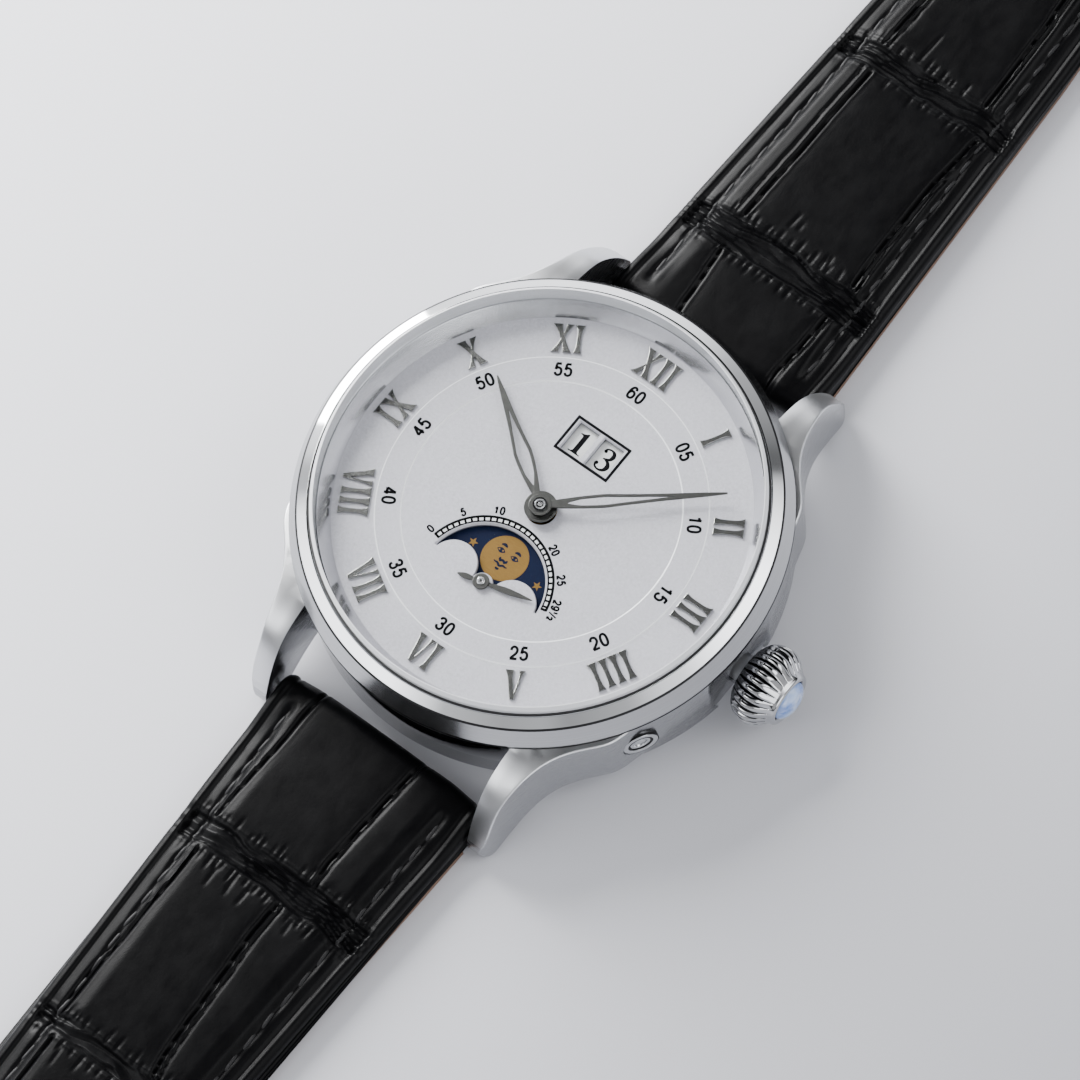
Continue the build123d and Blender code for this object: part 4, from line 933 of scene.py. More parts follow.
def make_print():
    zt, z0, h = 9.56, 9.5, 0.012
    out = []
    for k in range(12):
        label = "60" if k == 0 else "%02d" % (5 * k)
        a = clock(30 * k)
        flip = 4 <= k <= 8
        rot = a - math.pi / 2 + (math.pi if flip else 0)
        out += sans(label, 1.22, 0.222, 12.17 * math.cos(a), 12.17 * math.sin(a), rot, zt, zt + h, 0.71, 1.12)
    # moon age scale
    cx, cy = MOON
    a0, a1 = math.radians(90 + 78.4), math.radians(90 - 78.4)
    out.append(arc_strip(5.555, 5.765, a1 - 0.012, a0 + 0.012, z0, z0 + h, 120, MOON))
    out.append(arc_strip(5.195, 5.325, a1 - 0.012, a0 + 0.012, z0, z0 + h, 120, MOON))
    for k in range(31):
        day = min(k, 29.5)
        a = a0 + (a1 - a0) * day / 29.5
        t = (-math.sin(a), math.cos(a))
        w = 0.092 if k not in (0, 30) else 0.110
        p = [(cx + r * math.cos(a) + s * w * t[0], cy + r * math.sin(a) + s * w * t[1]) for r, s in ((5.21, -1), (5.69, -1), (5.69, 1), (5.21, 1))]
        out.append(poly_solid(p, z0, z0 + h))
    for day, label, turn in ((0, "0", 0.0), (5, "5", 0.0), (10, "10", 0.0), (20, "20", 0.0), (24.55, "25", 0.06)):
        a = a0 + (a1 - a0) * day / 29.5
        out += sans(label, 0.75, 0.165, cx + 6.26 * math.cos(a), cy + 6.26 * math.sin(a), a - math.pi / 2 + turn, z0, z0 + h, 0.76, 1.12)
    a = a1 + 0.115
    rot = a1 - 0.009 - math.pi / 2 + 0.13
    mx, my = cx + 6.24 * math.cos(a), cy + 6.24 * math.sin(a)

    def along(u, w):
        return mx + u * math.cos(rot) - w * math.sin(rot), my + u * math.sin(rot) + w * math.cos(rot)
    out += sans("29", 0.75, 0.165, mx, my, rot, z0, z0 + h, 0.76, 1.12)
    x, y = along(0.62, 0.18)
    out += sans("1", 0.48, 0.145, x, y, rot, z0, z0 + h)
    x, y = along(1.17, -0.14)
    out += sans("2", 0.56, 0.160, x, y, rot, z0, z0 + h, 0.6, 1.15)
    p, q = along(0.68, -0.34), along(1.02, 0.34)
    n = np.array([-(q[1] - p[1]), q[0] - p[0]])
    n = n / np.linalg.norm(n) * 0.062
    out.append(poly_solid([(p[0] - n[0], p[1] - n[1]), (p[0] + n[0], p[1] + n[1]), (q[0] + n[0], q[1] + n[1]), (q[0] - n[0], q[1] - n[1])], z0, z0 + h))
    # big date frame
    fr = plate_mesh("frame", [rect(0, 6.52, 2.66, 1.69, 0.03, 2), rect(0, 6.52, 2.42, 1.45, 0.02, 2)], z0, z0 + 0.014)
    out.append(fr)
    return merge_meshes("dial_printing", out)


dress("dial_printing", make_print(), M_BLACK, "case", sharp=40)

cells = []
_a0, _a1 = math.radians(90 + 78.4), math.radians(90 - 78.4)
for _k in range(30):
    _p, _q = _k, min(_k + 1, 29.5)
    _s = _a0 + (_a1 - _a0) * _q / 29.5
    _e = _a0 + (_a1 - _a0) * _p / 29.5
    cells.append(arc_strip(5.30, 5.565, _s + 0.012, _e - 0.012, 9.5, 9.508, 4, MOON))
dress("moon_scale_cells", merge_meshes("cells", cells), M_RULE, "case", sharp=40)


# ---------------------------------------------------------------------------
# Applied Roman numerals
# ---------------------------------------------------------------------------
HN = 2.46


def width_at(t, waist, a, b, p=3.4):
    """Stroke width along t from 0 to 1: a at the start, b at the end, thinner between."""
    s = 2 * t - 1
    end = a if s < 0 else b
    return waist + (end - waist) * abs(s) ** p


def stroke_edges(x0, x1, waist, a, b, n=26, serif=0.07):
    """Left and right edges at heights from -h to h."""
    h = HN / 2
    ts = np.linspace(0, 1, n)
    v = -h + 2 * h * ts
    c = x0 + (x1 - x0) * ts
    w = np.array([width_at(t, waist, a, b) for t in ts])
    return v, c - w / 2, c + w / 2


def one_stroke(x0, x1, waist, a, b):
    v, l, r = stroke_edges(x0, x1, waist, a, b)
    return [(x, y) for x, y in zip(r, v)] + [(x, y) for x, y in zip(l[::-1], v[::-1])]


def two_strokes(A, B):
    """Outline of two strokes that cross or meet."""
    v, al, ar = stroke_edges(*A, n=60)
    _, bl, br = stroke_edges(*B, n=60)
    left, right = np.minimum(al, bl), np.maximum(ar, br)
    r1, l2 = np.minimum(ar, br), np.maximum(al, bl)
    apart = l2 > r1 + 0.02
    out = [(x, y) for x, y in zip(right, v)]
    top = [i for i in range(len(v) - 1, -1, -1)]
    i = len(v) - 1
    inner = []
    while i >= 0 and apart[i]:
        inner.append(i)
        i -= 1
    out += [(l2[k], v[k]) for k in inner]
    if inner:
        k = inner[-1]
        out.append(((l2[k] + r1[k]) / 2, v[k] - (l2[k] - r1[k]) * 0.9))
    out += [(r1[k], v[k]) for k in inner[::-1]]
    out += [(x, y) for x, y in zip(left[::-1], v[::-1])]
    i, low = 0, []
    while i < len(v) and apart[i]:
        low.append(i)
        i += 1
    out += [(r1[k], v[k]) for k in low]
    if low:
        k = low[-1]
        out.append(((l2[k] + r1[k]) / 2, v[k] + (l2[k] - r1[k]) * 0.9))
    out += [(l2[k], v[k]) for k in low[::-1]]
    clean = [out[0]]
    for p in out[1:]:
        if math.hypot(p[0] - clean[-1][0], p[1] - clean[-1][1]) > 0.012:
            clean.append(p)
    return clean


GLYPH_W = {"I": 0.86, "V": 1.52, "X": 1.76}


def glyph(ch, x):
    if ch == "I":
        return one_stroke(x, x, 0.36, 0.66, 0.82)
    if ch == "V":
        return two_strokes((x - 0.02, x - 0.50, 0.40, 0.34, 0.72), (x + 0.06, x + 0.50, 0.17, 0.16, 0.50))
    return two_strokes((x + 0.50, x - 0.50, 0.42, 0.72, 0.78), (x - 0.52, x + 0.50, 0.25, 0.66, 0.62))


def make_numerals():
    out = []
    for i, text in enumerate(["XII", "I", "II", "III", "IIII", "V", "VI", "VII", "VIII", "IX", "X", "XI"]):
        flip = 4 <= i <= 8
        a = clock(30 * i)
        total = sum(GLYPH_W[c] for c in text)
        x = -total / 2
        for c in text:
            pts = []
            for u, v in glyph(c, x + GLYPH_W[c] / 2):
                if flip:
                    u, v = -u, -v
                rr, tt = 14.86 + v, -u
                pts.append((rr * math.cos(a) - tt * math.sin(a), rr * math.sin(a) + tt * math.cos(a)))
            out.append(plate_mesh("n", [pts], 9.495, 9.74, bevel=0.055, res=2))
            x += GLYPH_W[c]
    return merge_meshes("numerals", out)


dress("numerals_applied", make_numerals(), M_NUM, "case", ["hour_numerals"], 20)


# ---------------------------------------------------------------------------
# Hands
# ---------------------------------------------------------------------------
def leaf(length, wide, at, open_to, rail, hub, y0, tail_half=0.30, n=46):
    def half(y):
        if y < at:
            t = max(0.0, (y - hub * 0.8)) / (at - hub * 0.8)
            return tail_half + (wide / 2 - tail_half) * math.sin(t * math.pi / 2)
        t = (y - at) / (length - at)
        return wide / 2 * (1 - t) ** 0.86 * (1 - 0.18 * math.sin(math.pi * t)) + 0.06 * t
    ys = [hub * 0.7 + (length - hub * 0.7) * i / n for i in range(n + 1)]
    outer = [(half(y), y) for y in ys] + [(-half(y), y) for y in reversed(ys)]
    hole = []
    for i in range(n + 1):
        y = y0 + (open_to - y0) * i / n
        e = min(1.0, (y - y0) / 1.0, (open_to - y) / 1.8)
        hole.append((max(0.012, (half(y) - rail) * max(0.0, e) ** 0.55), y))
    hole = hole + [(-x, y) for x, y in reversed(hole)]
    return outer, hole


def turned(pts, clock_deg, x=0.0, y=0.0):
    a = -math.radians(clock_deg)
    return [(x + px * math.cos(a) - py * math.sin(a), y + px * math.sin(a) + py * math.cos(a)) for px, py in pts]


def disc(r, n=72, x=0.0, y=0.0):
    return [(x + r * math.cos(2 * math.pi * i / n), y + r * math.sin(2 * math.pi * i / n)) for i in range(n)]


def make_hand(length, wide, at, open_to, rail, hub_r, bore, cl, z0, z1, zh, y0, collars=(), lift=0.005):
    outer, hole = leaf(length, wide, at, open_to, rail, hub_r, y0)
    a = plate_mesh("l", [turned(outer, cl), turned(hole, cl)], z0, z1, bevel=0.035, res=2)
    b = plate_mesh("h", [disc(hub_r), disc(bore)], z0 + lift, zh, bevel=0.03, res=2)
    return merge_meshes("hand", [a, b] + [plate_mesh("c", [disc(ro), disc(ri)], za, zb) for ro, ri, za, zb in collars])


dress("hour_hand_leaf", make_hand(11.97, 1.50, 5.0, 8.75, 0.27, 1.33, 1.06, 305.0, 10.08, 10.26, 10.30, 1.95, [(1.075, 1.055, 9.56, 10.17), (1.12, 0.70, 10.27, 10.36)], 0.075), M_HAND, "hour_group", ["hour_hand"], 20)
dress("minute_hand_leaf", make_hand(14.73, 1.15, 5.3, 10.6, 0.24, 0.92, 0.44, 50.2, 10.46, 10.62, 10.68, 2.15), M_HAND, "minute_group", ["minute_hand"], 20)


def make_seconds():
    cl = 75.6
    n = 24
    pts = []
    prof = [(0.0, 0.13), (0.7, 0.14), (1.5, 0.23), (2.2, 0.27), (3.0, 0.22), (3.8, 0.12), (4.39, 0.03)]
    tail = [(0.0, 0.13), (-0.62, 0.13), (-1.1, 0.24), (-1.5, 0.24), (-1.85, 0.12), (-2.04, 0.04)]

    def side(p, k=24):
        ys = [q[0] for q in p]
        ws = [q[1] for q in p]
        if ys[-1] < 0:
            yy = np.linspace(0, ys[-1], k)
            return yy, np.interp(-yy, [-y for y in ys], ws)
        yy = np.linspace(0, ys[-1], k)
        return yy, np.interp(yy, ys, ws)
    y1, w1 = side(prof)
    y2, w2 = side(tail)
    w1 = np.convolve(np.pad(w1, 2, mode="edge"), np.ones(5) / 5, "valid")
    w2 = np.convolve(np.pad(w2, 2, mode="edge"), np.ones(5) / 5, "valid")
    w1[-1], w2[-1] = 0.03, 0.04
    out = list(zip(w2[::-1], y2[::-1])) + list(zip(w1[1:], y1[1:]))
    pts = [(float(a), float(b)) for a, b in out] + [(-float(a), float(b)) for a, b in out[::-1]]
    a = plate_mesh("s", [turned(pts, cl, *MOON)], 9.72, 9.84, bevel=0.028, res=2)
    b = plate_mesh("sh", [disc(0.67, 60, *MOON)], 9.725, 9.92, bevel=0.03, res=2)
    v, f = lathe_data([(0, 9.90), (0.34, 9.90), (0.34, 9.965), (0.30, 9.99), (0.22, 9.99), (0.17, 9.95), (0.17, 9.905), (0, 9.905)], 40, MOON)
    c = mesh_from(v, f)
    return merge_meshes("sec", [a, b, c])


dress("seconds_hand_leaf", make_seconds(), M_HAND, "seconds_group", ["small_seconds_hand"], 20)
lathe("seconds_pipe_end", [(0.13, 9.90), (0.31, 9.90), (0.31, 9.985), (0.27, 10.005), (0.17, 10.005), (0.13, 9.98)], M_CAP, "seconds_group", seg=48,
      centre=MOON, slot="tool_steel", sharp=20)
# polished pipe end at the hand centre
lathe("hand_centre_cap", [(0, 10.60), (0.46, 10.60), (0.46, 10.76), (0.39, 10.84), (0.33, 10.84), (0.30, 10.78), (0.20, 10.78), (0.17, 10.81), (0.0, 10.81)], M_CAP, "minute_group", seg=64,
      slot="tool_steel", sharp=20)


# ---------------------------------------------------------------------------
# Moon disc and date discs
# ---------------------------------------------------------------------------
lathe("moon_disc_navy", [(0.82, 8.72), (5.3, 8.72), (5.3, 8.9), (0.82, 8.9)], M_NAVY, "moon_group", seg=160, radii=[0.01] * 4, n=2,
      centre=MOON, replaces=["moon_disc"], slot="moon_blue", sharp=40)


def star(cx, cy, r, rot, points=5, inner=0.42):
    out = []
    for i in range(2 * points):
        q = r if i % 2 == 0 else r * inner
        a = rot + math.pi * i / points
        out.append((cx + q * math.cos(a), cy + q * math.sin(a)))
    return out


def make_gold():
    out = []
    for s in (1, -1):
        out.append(plate_mesh("m", [disc(1.94, 96, MOON[0], MOON[1] + s * 2.85)], 8.895, 8.925, bevel=0.008, res=1))
    for x, y, r in ((-2.9, 2.5, 0.42), (3.5, 2.5, 0.42)):
        for s in (1, -1):
            c, sn = (1, 0) if s > 0 else (-1, 0)
            out.append(plate_mesh("st", [star(MOON[0] + c * x, MOON[1] + c * y, r, math.pi / 2 + (0 if s > 0 else math.pi))], 8.895, 8.92))
    return merge_meshes("gold", out)


dress("moon_gold_print", make_gold(), M_GOLD, "moon_group", sharp=35)


def make_face():
    out = []
    z0, z1 = 8.92, 8.934
    for s in (1, -1):
        ox, oy = MOON[0], MOON[1] + s * 2.85

        def at(x, y):
            return (ox + s * x, oy + s * y)

        def line(pts, ws):
            return poly_strip([at(*p) for p in pts], ws, z0, z1)
        for e in (-1, 1):
            brow = [(e * (0.66 + 0.30 * math.cos(t)), 0.74 + 0.16 * math.sin(t)) for t in np.linspace(math.pi * 0.95, math.pi * 0.10, 12)]
            if e > 0:
                brow = [(0.38 + 0.56 * k / 11, 0.78 + 0.17 * math.sin(math.pi * (0.12 + 0.78 * k / 11))) for k in range(12)]
            else:
                brow = [(-0.38 - 0.56 * k / 11, 0.78 + 0.17 * math.sin(math.pi * (0.12 + 0.78 * k / 11))) for k in range(12)]
            out.append(line(brow, [0.10 + 0.15 * math.sin(math.pi * k / 11) for k in range(12)]))
            ex = e * 0.66
            top = [(ex + 0.40 * k / 8, 0.40 + 0.24 * math.cos(math.pi / 2 * k / 8)) for k in range(-8, 9)]
            low = [(ex + 0.40 * k / 8, 0.40 - 0.21 * math.cos(math.pi / 2 * k / 8)) for k in range(8, -9, -1)]
            eye = [at(*p) for p in top + low[1:-1]]
            if s < 0:
                pass
            out.append(poly_solid(eye if poly_area(eye) > 0 else eye[::-1], z0, z1))
        nose = [(-0.33, -0.08), (-0.30, -0.22), (-0.20, -0.31), (-0.08, -0.24), (0.0, -0.21), (0.08, -0.24), (0.20, -0.31), (0.31, -0.22), (0.34, -0.06)]
        out.append(line(nose, [0.11, 0.22, 0.27, 0.22, 0.18, 0.22, 0.27, 0.22, 0.11]))
        mouth = [(-0.64 + 1.28 * k / 24, -0.66 - 0.075 * math.cos(math.pi * 4 * (k / 24 - 0.5)) * math.sin(math.pi * k / 24) + 0.10 * (2 * k / 24 - 1) ** 2) for k in range(25)]
        out.append(line(mouth, [0.09 + 0.11 * math.sin(math.pi * k / 24) for k in range(25)]))
        chin = [(-0.17 + 0.34 * k / 8, -0.98 - 0.06 * math.sin(math.pi * k / 8)) for k in range(9)]
        out.append(line(chin, [0.09 + 0.12 * math.sin(math.pi * k / 8) for k in range(9)]))
    return merge_meshes("face", out)


def poly_area(p):
    return sum(p[i - 1][0] * p[i][1] - p[i][0] * p[i - 1][1] for i in range(len(p))) / 2


dress("moon_face_lines", make_face(), M_NAVY, "moon_group", sharp=35)


def make_glints():
    out = []
    for s in (1, -1):
        for e in (-1, 1):
            for dx, dy, r in ((0.15, 0.03, 0.075), (-0.19, 0.0, 0.070)):
                out.append(poly_solid(disc(r, 14, MOON[0] + s * (e * 0.66 + dx), MOON[1] + s * 2.85 + s * (0.40 + dy)), 8.934, 8.940))
    return merge_meshes("glints", out)


dress("moon_eye_glints", make_glints(), M_GOLD, "moon_group", sharp=35)


def serif_one(h, cx, cy, rot, z0, z1):
    """Serif figure 1: stem, flag and foot."""
    k = h / 2.1
    pts = [(-0.58, -1.05), (0.58, -1.05), (0.58, -0.96), (0.36, -0.93), (0.25, -0.84), (0.23, -0.74), (0.23, 1.05), (0.10, 1.05),
           (-0.05, 0.93), (-0.22, 0.85), (-0.52, 0.80), (-0.52, 0.70), (-0.29, 0.68), (-0.21, 0.58), (-0.21, -0.74), (-0.23, -0.84), (-0.34, -0.93), (-0.58, -0.96)]
    return place_outline([fillet_poly(pts, 0.03, 2)], k, cx, cy, rot, z0, z1)


def place_outline(loops, k, cx, cy, rot, z0, z1):
    c, s = math.cos(rot), math.sin(rot)
    return plate_mesh("g", [[(cx + k * (x * c - y * s), cy + k * (x * s + y * c)) for x, y in lp] for lp in loops], z0, z1)


def curve_figure(points, widths, h, cx, cy, rot, z0, z1, balls=()):
    """Serif figure from a modulated stroke and round terminals, drawn in a 2.1 high box."""
    from_spl = spline_pts(points, [1.22 * w_ + 0.05 for w_ in widths], 10)
    p, w = from_spl
    c, s = math.cos(rot), math.sin(rot)
    k = h / 2.1
    q = [(cx + k * (x * c - y * s), cy + k * (x * s + y * c)) for x, y in p]
    out = [poly_strip(q, [k * v for v in w], z0, z1)]
    for bx, by, br in balls:
        out.append(poly_solid(disc(br * k, 24, cx + k * (bx * c - by * s), cy + k * (bx * s + by * c)), z0, z1))
    return out


FIG = {
    "0": ([(0.0, 1.0), (-0.36, 0.82), (-0.53, 0.35), (-0.56, 0.0), (-0.53, -0.35), (-0.36, -0.82), (0.0, -1.0), (0.36, -0.82), (0.53, -0.35), (0.56, 0.0), (0.53, 0.35), (0.36, 0.82), (0.0, 1.0)],
          [0.07, 0.14, 0.28, 0.30, 0.28, 0.14, 0.07, 0.14, 0.28, 0.30, 0.28, 0.14, 0.07], ()),
    "2": ([(-0.48, 0.50), (-0.42, 0.80), (-0.10, 1.0), (0.28, 0.90), (0.44, 0.52), (0.30, 0.10), (-0.05, -0.38), (-0.50, -0.90), (-0.20, -0.88), (0.20, -0.92), (0.50, -0.90), (0.56, -0.58)],
          [0.14, 0.12, 0.10, 0.22, 0.30, 0.22, 0.12, 0.08, 0.20, 0.26, 0.18, 0.05], ((-0.40, 0.52, 0.15),)),
    "3": ([(-0.50, 0.62), (-0.38, 0.88), (-0.04, 1.0), (0.30, 0.88), (0.42, 0.56), (0.30, 0.22), (-0.10, 0.06), (-0.22, 0.05), (-0.06, 0.05), (0.34, -0.10), (0.52, -0.46), (0.36, -0.84), (-0.06, -1.0), (-0.42, -0.86), (-0.56, -0.56)],
          [0.12, 0.10, 0.09, 0.20, 0.28, 0.18, 0.07, 0.06, 0.07, 0.20, 0.31, 0.20, 0.09, 0.10, 0.12], ((-0.40, 0.66, 0.15), (-0.45, -0.56, 0.16))),
    "4": ([(0.22, -1.0), (0.22, 1.0), (-0.60, -0.42), (0.60, -0.42)], [0.26, 0.22, 0.07, 0.10], ()),
    "5": ([(0.46, 0.94), (0.0, 0.90), (-0.34, 0.94), (-0.40, 0.10), (-0.10, 0.28), (0.28, 0.20), (0.50, -0.28), (0.34, -0.80), (-0.06, -1.0), (-0.42, -0.84), (-0.54, -0.55)],
          [0.16, 0.20, 0.10, 0.07, 0.08, 0.18, 0.30, 0.20, 0.09, 0.10, 0.12], ((-0.43, -0.56, 0.15),)),
    "6": ([(0.46, 0.70), (0.20, 0.98), (-0.22, 0.82), (-0.50, 0.25), (-0.54, -0.36), (-0.30, -0.88), (0.04, -1.0), (0.38, -0.80), (0.50, -0.38), (0.34, 0.04), (0.02, 0.16), (-0.34, 0.0), (-0.46, -0.28)],
          [0.12, 0.08, 0.14, 0.28, 0.30, 0.18, 0.08, 0.18, 0.28, 0.18, 0.08, 0.08, 0.06], ((0.38, 0.66, 0.14),)),
    "7": ([(-0.50, 0.55), (-0.46, 0.92), (0.0, 0.88), (0.50, 0.95), (0.16, 0.30), (-0.08, -0.30), (-0.12, -1.0)], [0.06, 0.12, 0.24, 0.09, 0.12, 0.20, 0.32], ()),
    "8": ([(0.0, 1.0), (-0.36, 0.82), (-0.40, 0.46), (-0.10, 0.12), (0.34, -0.16), (0.48, -0.56), (0.26, -0.92), (0.0, -1.0), (-0.36, -0.88), (-0.50, -0.52), (-0.30, -0.12), (0.14, 0.16), (0.40, 0.50), (0.30, 0.86), (0.0, 1.0)],
          [0.07, 0.14, 0.24, 0.26, 0.28, 0.22, 0.10, 0.07, 0.10, 0.14, 0.10, 0.08, 0.12, 0.12, 0.07], ()),
    "9": ([(-0.46, -0.70), (-0.20, -0.98), (0.22, -0.82), (0.50, -0.25), (0.54, 0.36), (0.30, 0.88), (-0.04, 1.0), (-0.38, 0.80), (-0.50, 0.38), (-0.34, -0.04), (-0.02, -0.16), (0.34, 0.0), (0.46, 0.28)],
          [0.12, 0.08, 0.14, 0.28, 0.30, 0.18, 0.08, 0.18, 0.28, 0.18, 0.08, 0.08, 0.06], ((-0.38, -0.66, 0.14),)),
}


def figure(ch, h, cx, cy, rot, z0, z1):
    if ch == "1":
        return [serif_one(h, cx, cy, rot, z0, z1)]
    p, w, b = FIG[ch]
    return curve_figure(p, w, h, cx, cy, rot, z0, z1, b)


def date_disc(name, node, body, centre, r_out, orbit, side, figures, z0=8.72, z1=8.9):
    """A disc whose figures stand upright as each reaches the window, at angle side."""
    lathe(name, [(0.57, z0), (r_out, z0), (r_out, z1), (0.57, z1)], M_DATE, body, seg=160, radii=[0.01] * 4, n=2, centre=centre,
          replaces=[node], slot="date_white", sharp=40)
    out = []
    for i, ch in enumerate(figures):
        if not ch:
            continue
        a = side + 2 * math.pi * i / len(figures)
        rot = a - side
        x, y = centre[0] + orbit * math.cos(a), centre[1] + orbit * math.sin(a)
        out += figure(ch, 2.02, x, y, rot, z1 - 0.004, z1 + 0.010)
    dress(name + "_figures", merge_meshes("fig", out), M_BLACK, body, sharp=35)


date_disc("date_tens_white", "date_tens_disc", "date_tens_group", (-4.24, 6.5), 4.2, 3.0, 0.0, ["1", "2", "3", ""])
date_disc("date_units_white", "date_units_disc", "date_units_group", (5.44, 6.5), 5.36, 4.23, math.pi,
          ["3", "4", "5", "6", "7", "8", "9", "0", "1", "2"])


# ---------------------------------------------------------------------------
# Crown
# ---------------------------------------------------------------------------
CROWN_Z = 4.75
RIBS = 28


def onto_x(v):
    """A lathe made round Z is laid along the crown's axis."""
    v = np.asarray(v, float)
    return np.stack([v[:, 2], v[:, 0], v[:, 1] + CROWN_Z], 1)


def smooth(t):
    t = np.clip(t, 0.0, 1.0)
    return t * t * (3 - 2 * t)


def make_crown():
    key = [(20.30, 2.50), (20.46, 2.80), (20.85, 3.12), (21.35, 3.36), (21.95, 3.44), (22.5, 3.34), (23.0, 3.05), (23.4, 2.70), (23.70, 2.42), (23.92, 2.30)]
    xs = np.array([k[0] for k in key])
    rs = np.array([k[1] for k in key])
    xx = np.concatenate([np.linspace(20.30, 20.50, 4), np.linspace(20.6, 23.92, 34)])
    coef = np.polyfit(xs, rs, 6)
    body = [(float(np.polyval(coef, x)), float(x)) for x in xx]
    pre = [(0.0, 22.5), (0.47, 22.5), (0.47, 17.6), (0.80, 17.6), (0.80, 22.3), (1.75, 22.3), (1.75, 20.30), (1.80, 20.20), (2.28, 20.20), (2.40, 20.22)]
    post = [(2.27, 24.04), (2.19, 24.14), (2.08, 24.20), (1.96, 24.21), (1.86, 24.17), (1.76, 24.02), (1.72, 23.85), (1.70, 23.6), (0.0, 23.6)]
    prof = pre + body + post
    seg = RIBS * 14
    v, rows = [], []
    for k, (r, x) in enumerate(prof):
        if r < 1e-6:
            rows.append([len(v)] * seg)
            v.append((0, 0, x))
            continue
        rows.append(list(range(len(v), len(v) + seg)))
        ribbed = len(pre) <= k < len(pre) + len(body)
        deep = 0.0
        if ribbed:
            deep = 0.52 * float(smooth((23.86 - x) / 2.2)) ** 0.7 * (0.55 + 0.45 * float(smooth((x - 20.2) / 0.5)))
        elif k in (len(pre) - 1, len(pre) - 2):
            deep = 0.16
        sharpness = 0.97
        for i in range(seg):
            a = 2 * math.pi * i / seg
            t = abs(2 * ((i / 14) % 1.0) - 1.0)
            g = (1 - math.sqrt(1 - (sharpness * t) ** 2)) / (1 - math.sqrt(1 - sharpness ** 2))
            if ribbed:
                g = g ** (1.0 + 1.6 * float(smooth((x - 22.2) / 1.6)))
            q = r - deep * g
            v.append((q * math.cos(a), q * math.sin(a), x))
    # dark marks the faces along each groove bottom that take the painted shade material
    f, dark = [], []
    for k, (ra, rb) in enumerate(zip(rows, rows[1:])):
        x = prof[k][1]
        wide = 2 if x < 23.1 else 1
        cut = len(pre) - 1 <= k < len(pre) + len(body) - 4
        for i in range(seg):
            j = (i + 1) % seg
            q = [ra[i], ra[j], rb[j], rb[i]]
            q = [p for n, p in enumerate(q) if p != q[n - 1]]
            if len(q) >= 3:
                f.append(q)
                dark.append(1 if cut and min(i % 14, 13 - i % 14) < wide - 0.5 and wide > 0 and (wide > 1 or i % 14 == 0) else 0)
    return onto_x(v), f, dark


_v, _f, _d = make_crown()
put("crown_ribbed", _v, _f, None, "crown_group", replaces=["crown"], slot="polished_steel", sharp=40,
    mats=[steel_polished("crown_polished", (0.56, 0.565, 0.58), 0.08), M_GROOVE_SHADE], face_mats=_d)
_dome = [(0.0, 23.62), (1.64, 23.62), (1.67, 23.95)] + [(1.67 * math.cos(t), 24.02 + 0.86 * math.sin(t)) for t in np.linspace(0.04, math.pi / 2 - 0.02, 20)] + [(0.0, 24.885)]
_v, _f = lathe_data(_dome, 64, closed=False)
put("crown_stone", onto_x(_v), _f, M_CAB, "crown_group", replaces=["crown_cabochon"], slot="cabochon_blue", sharp=60)


# ---------------------------------------------------------------------------
# Strap
# ---------------------------------------------------------------------------
class Field:
    """Smooth value noise on the plane, from a seeded table."""

    def __init__(self, seed):
        self.t = np.random.default_rng(seed).random((64, 64))

    def __call__(self, x, y):
        x, y = np.broadcast_arrays(np.asarray(x, float), np.asarray(y, float))
        xi, yi = np.floor(x).astype(int), np.floor(y).astype(int)
        fx, fy = smooth(x - xi), smooth(y - yi)
        t = self.t
        a, b = t[xi % 64, yi % 64], t[(xi + 1) % 64, yi % 64]
        c, d = t[xi % 64, (yi + 1) % 64], t[(xi + 1) % 64, (yi + 1) % 64]
        return (a + (b - a) * fx) * (1 - fy) + (c + (d - c) * fx) * fy - 0.5


TIP = [(24.0, 10.0), (76.0, 8.0), (126.0, 8.0), (128.5, 7.86), (130.5, 7.45), (132.2, 6.85), (133.6, 6.1), (134.9, 5.1), (135.9, 4.0), (136.5, 2.9), (136.85, 1.9), (137.0, 0.9)]
PLAIN = [(24.0, 10.0), (76.0, 8.0), (97.0, 8.0)]
TOP_SHORT = [(22.0, 3.45), (26.0, 3.56), (30.0, 3.62), (57.0, 3.30), (65.0, 3.50), (93.0, 3.30), (95.0, 3.30)]
TOP_LONG = [(22.0, 3.45), (26.0, 3.56), (30.0, 3.62), (60.0, 3.25), (100.0, 2.75), (138.0, 2.45)]


def interp(tab, y):
    return np.interp(y, [p[0] for p in tab], [p[1] for p in tab])


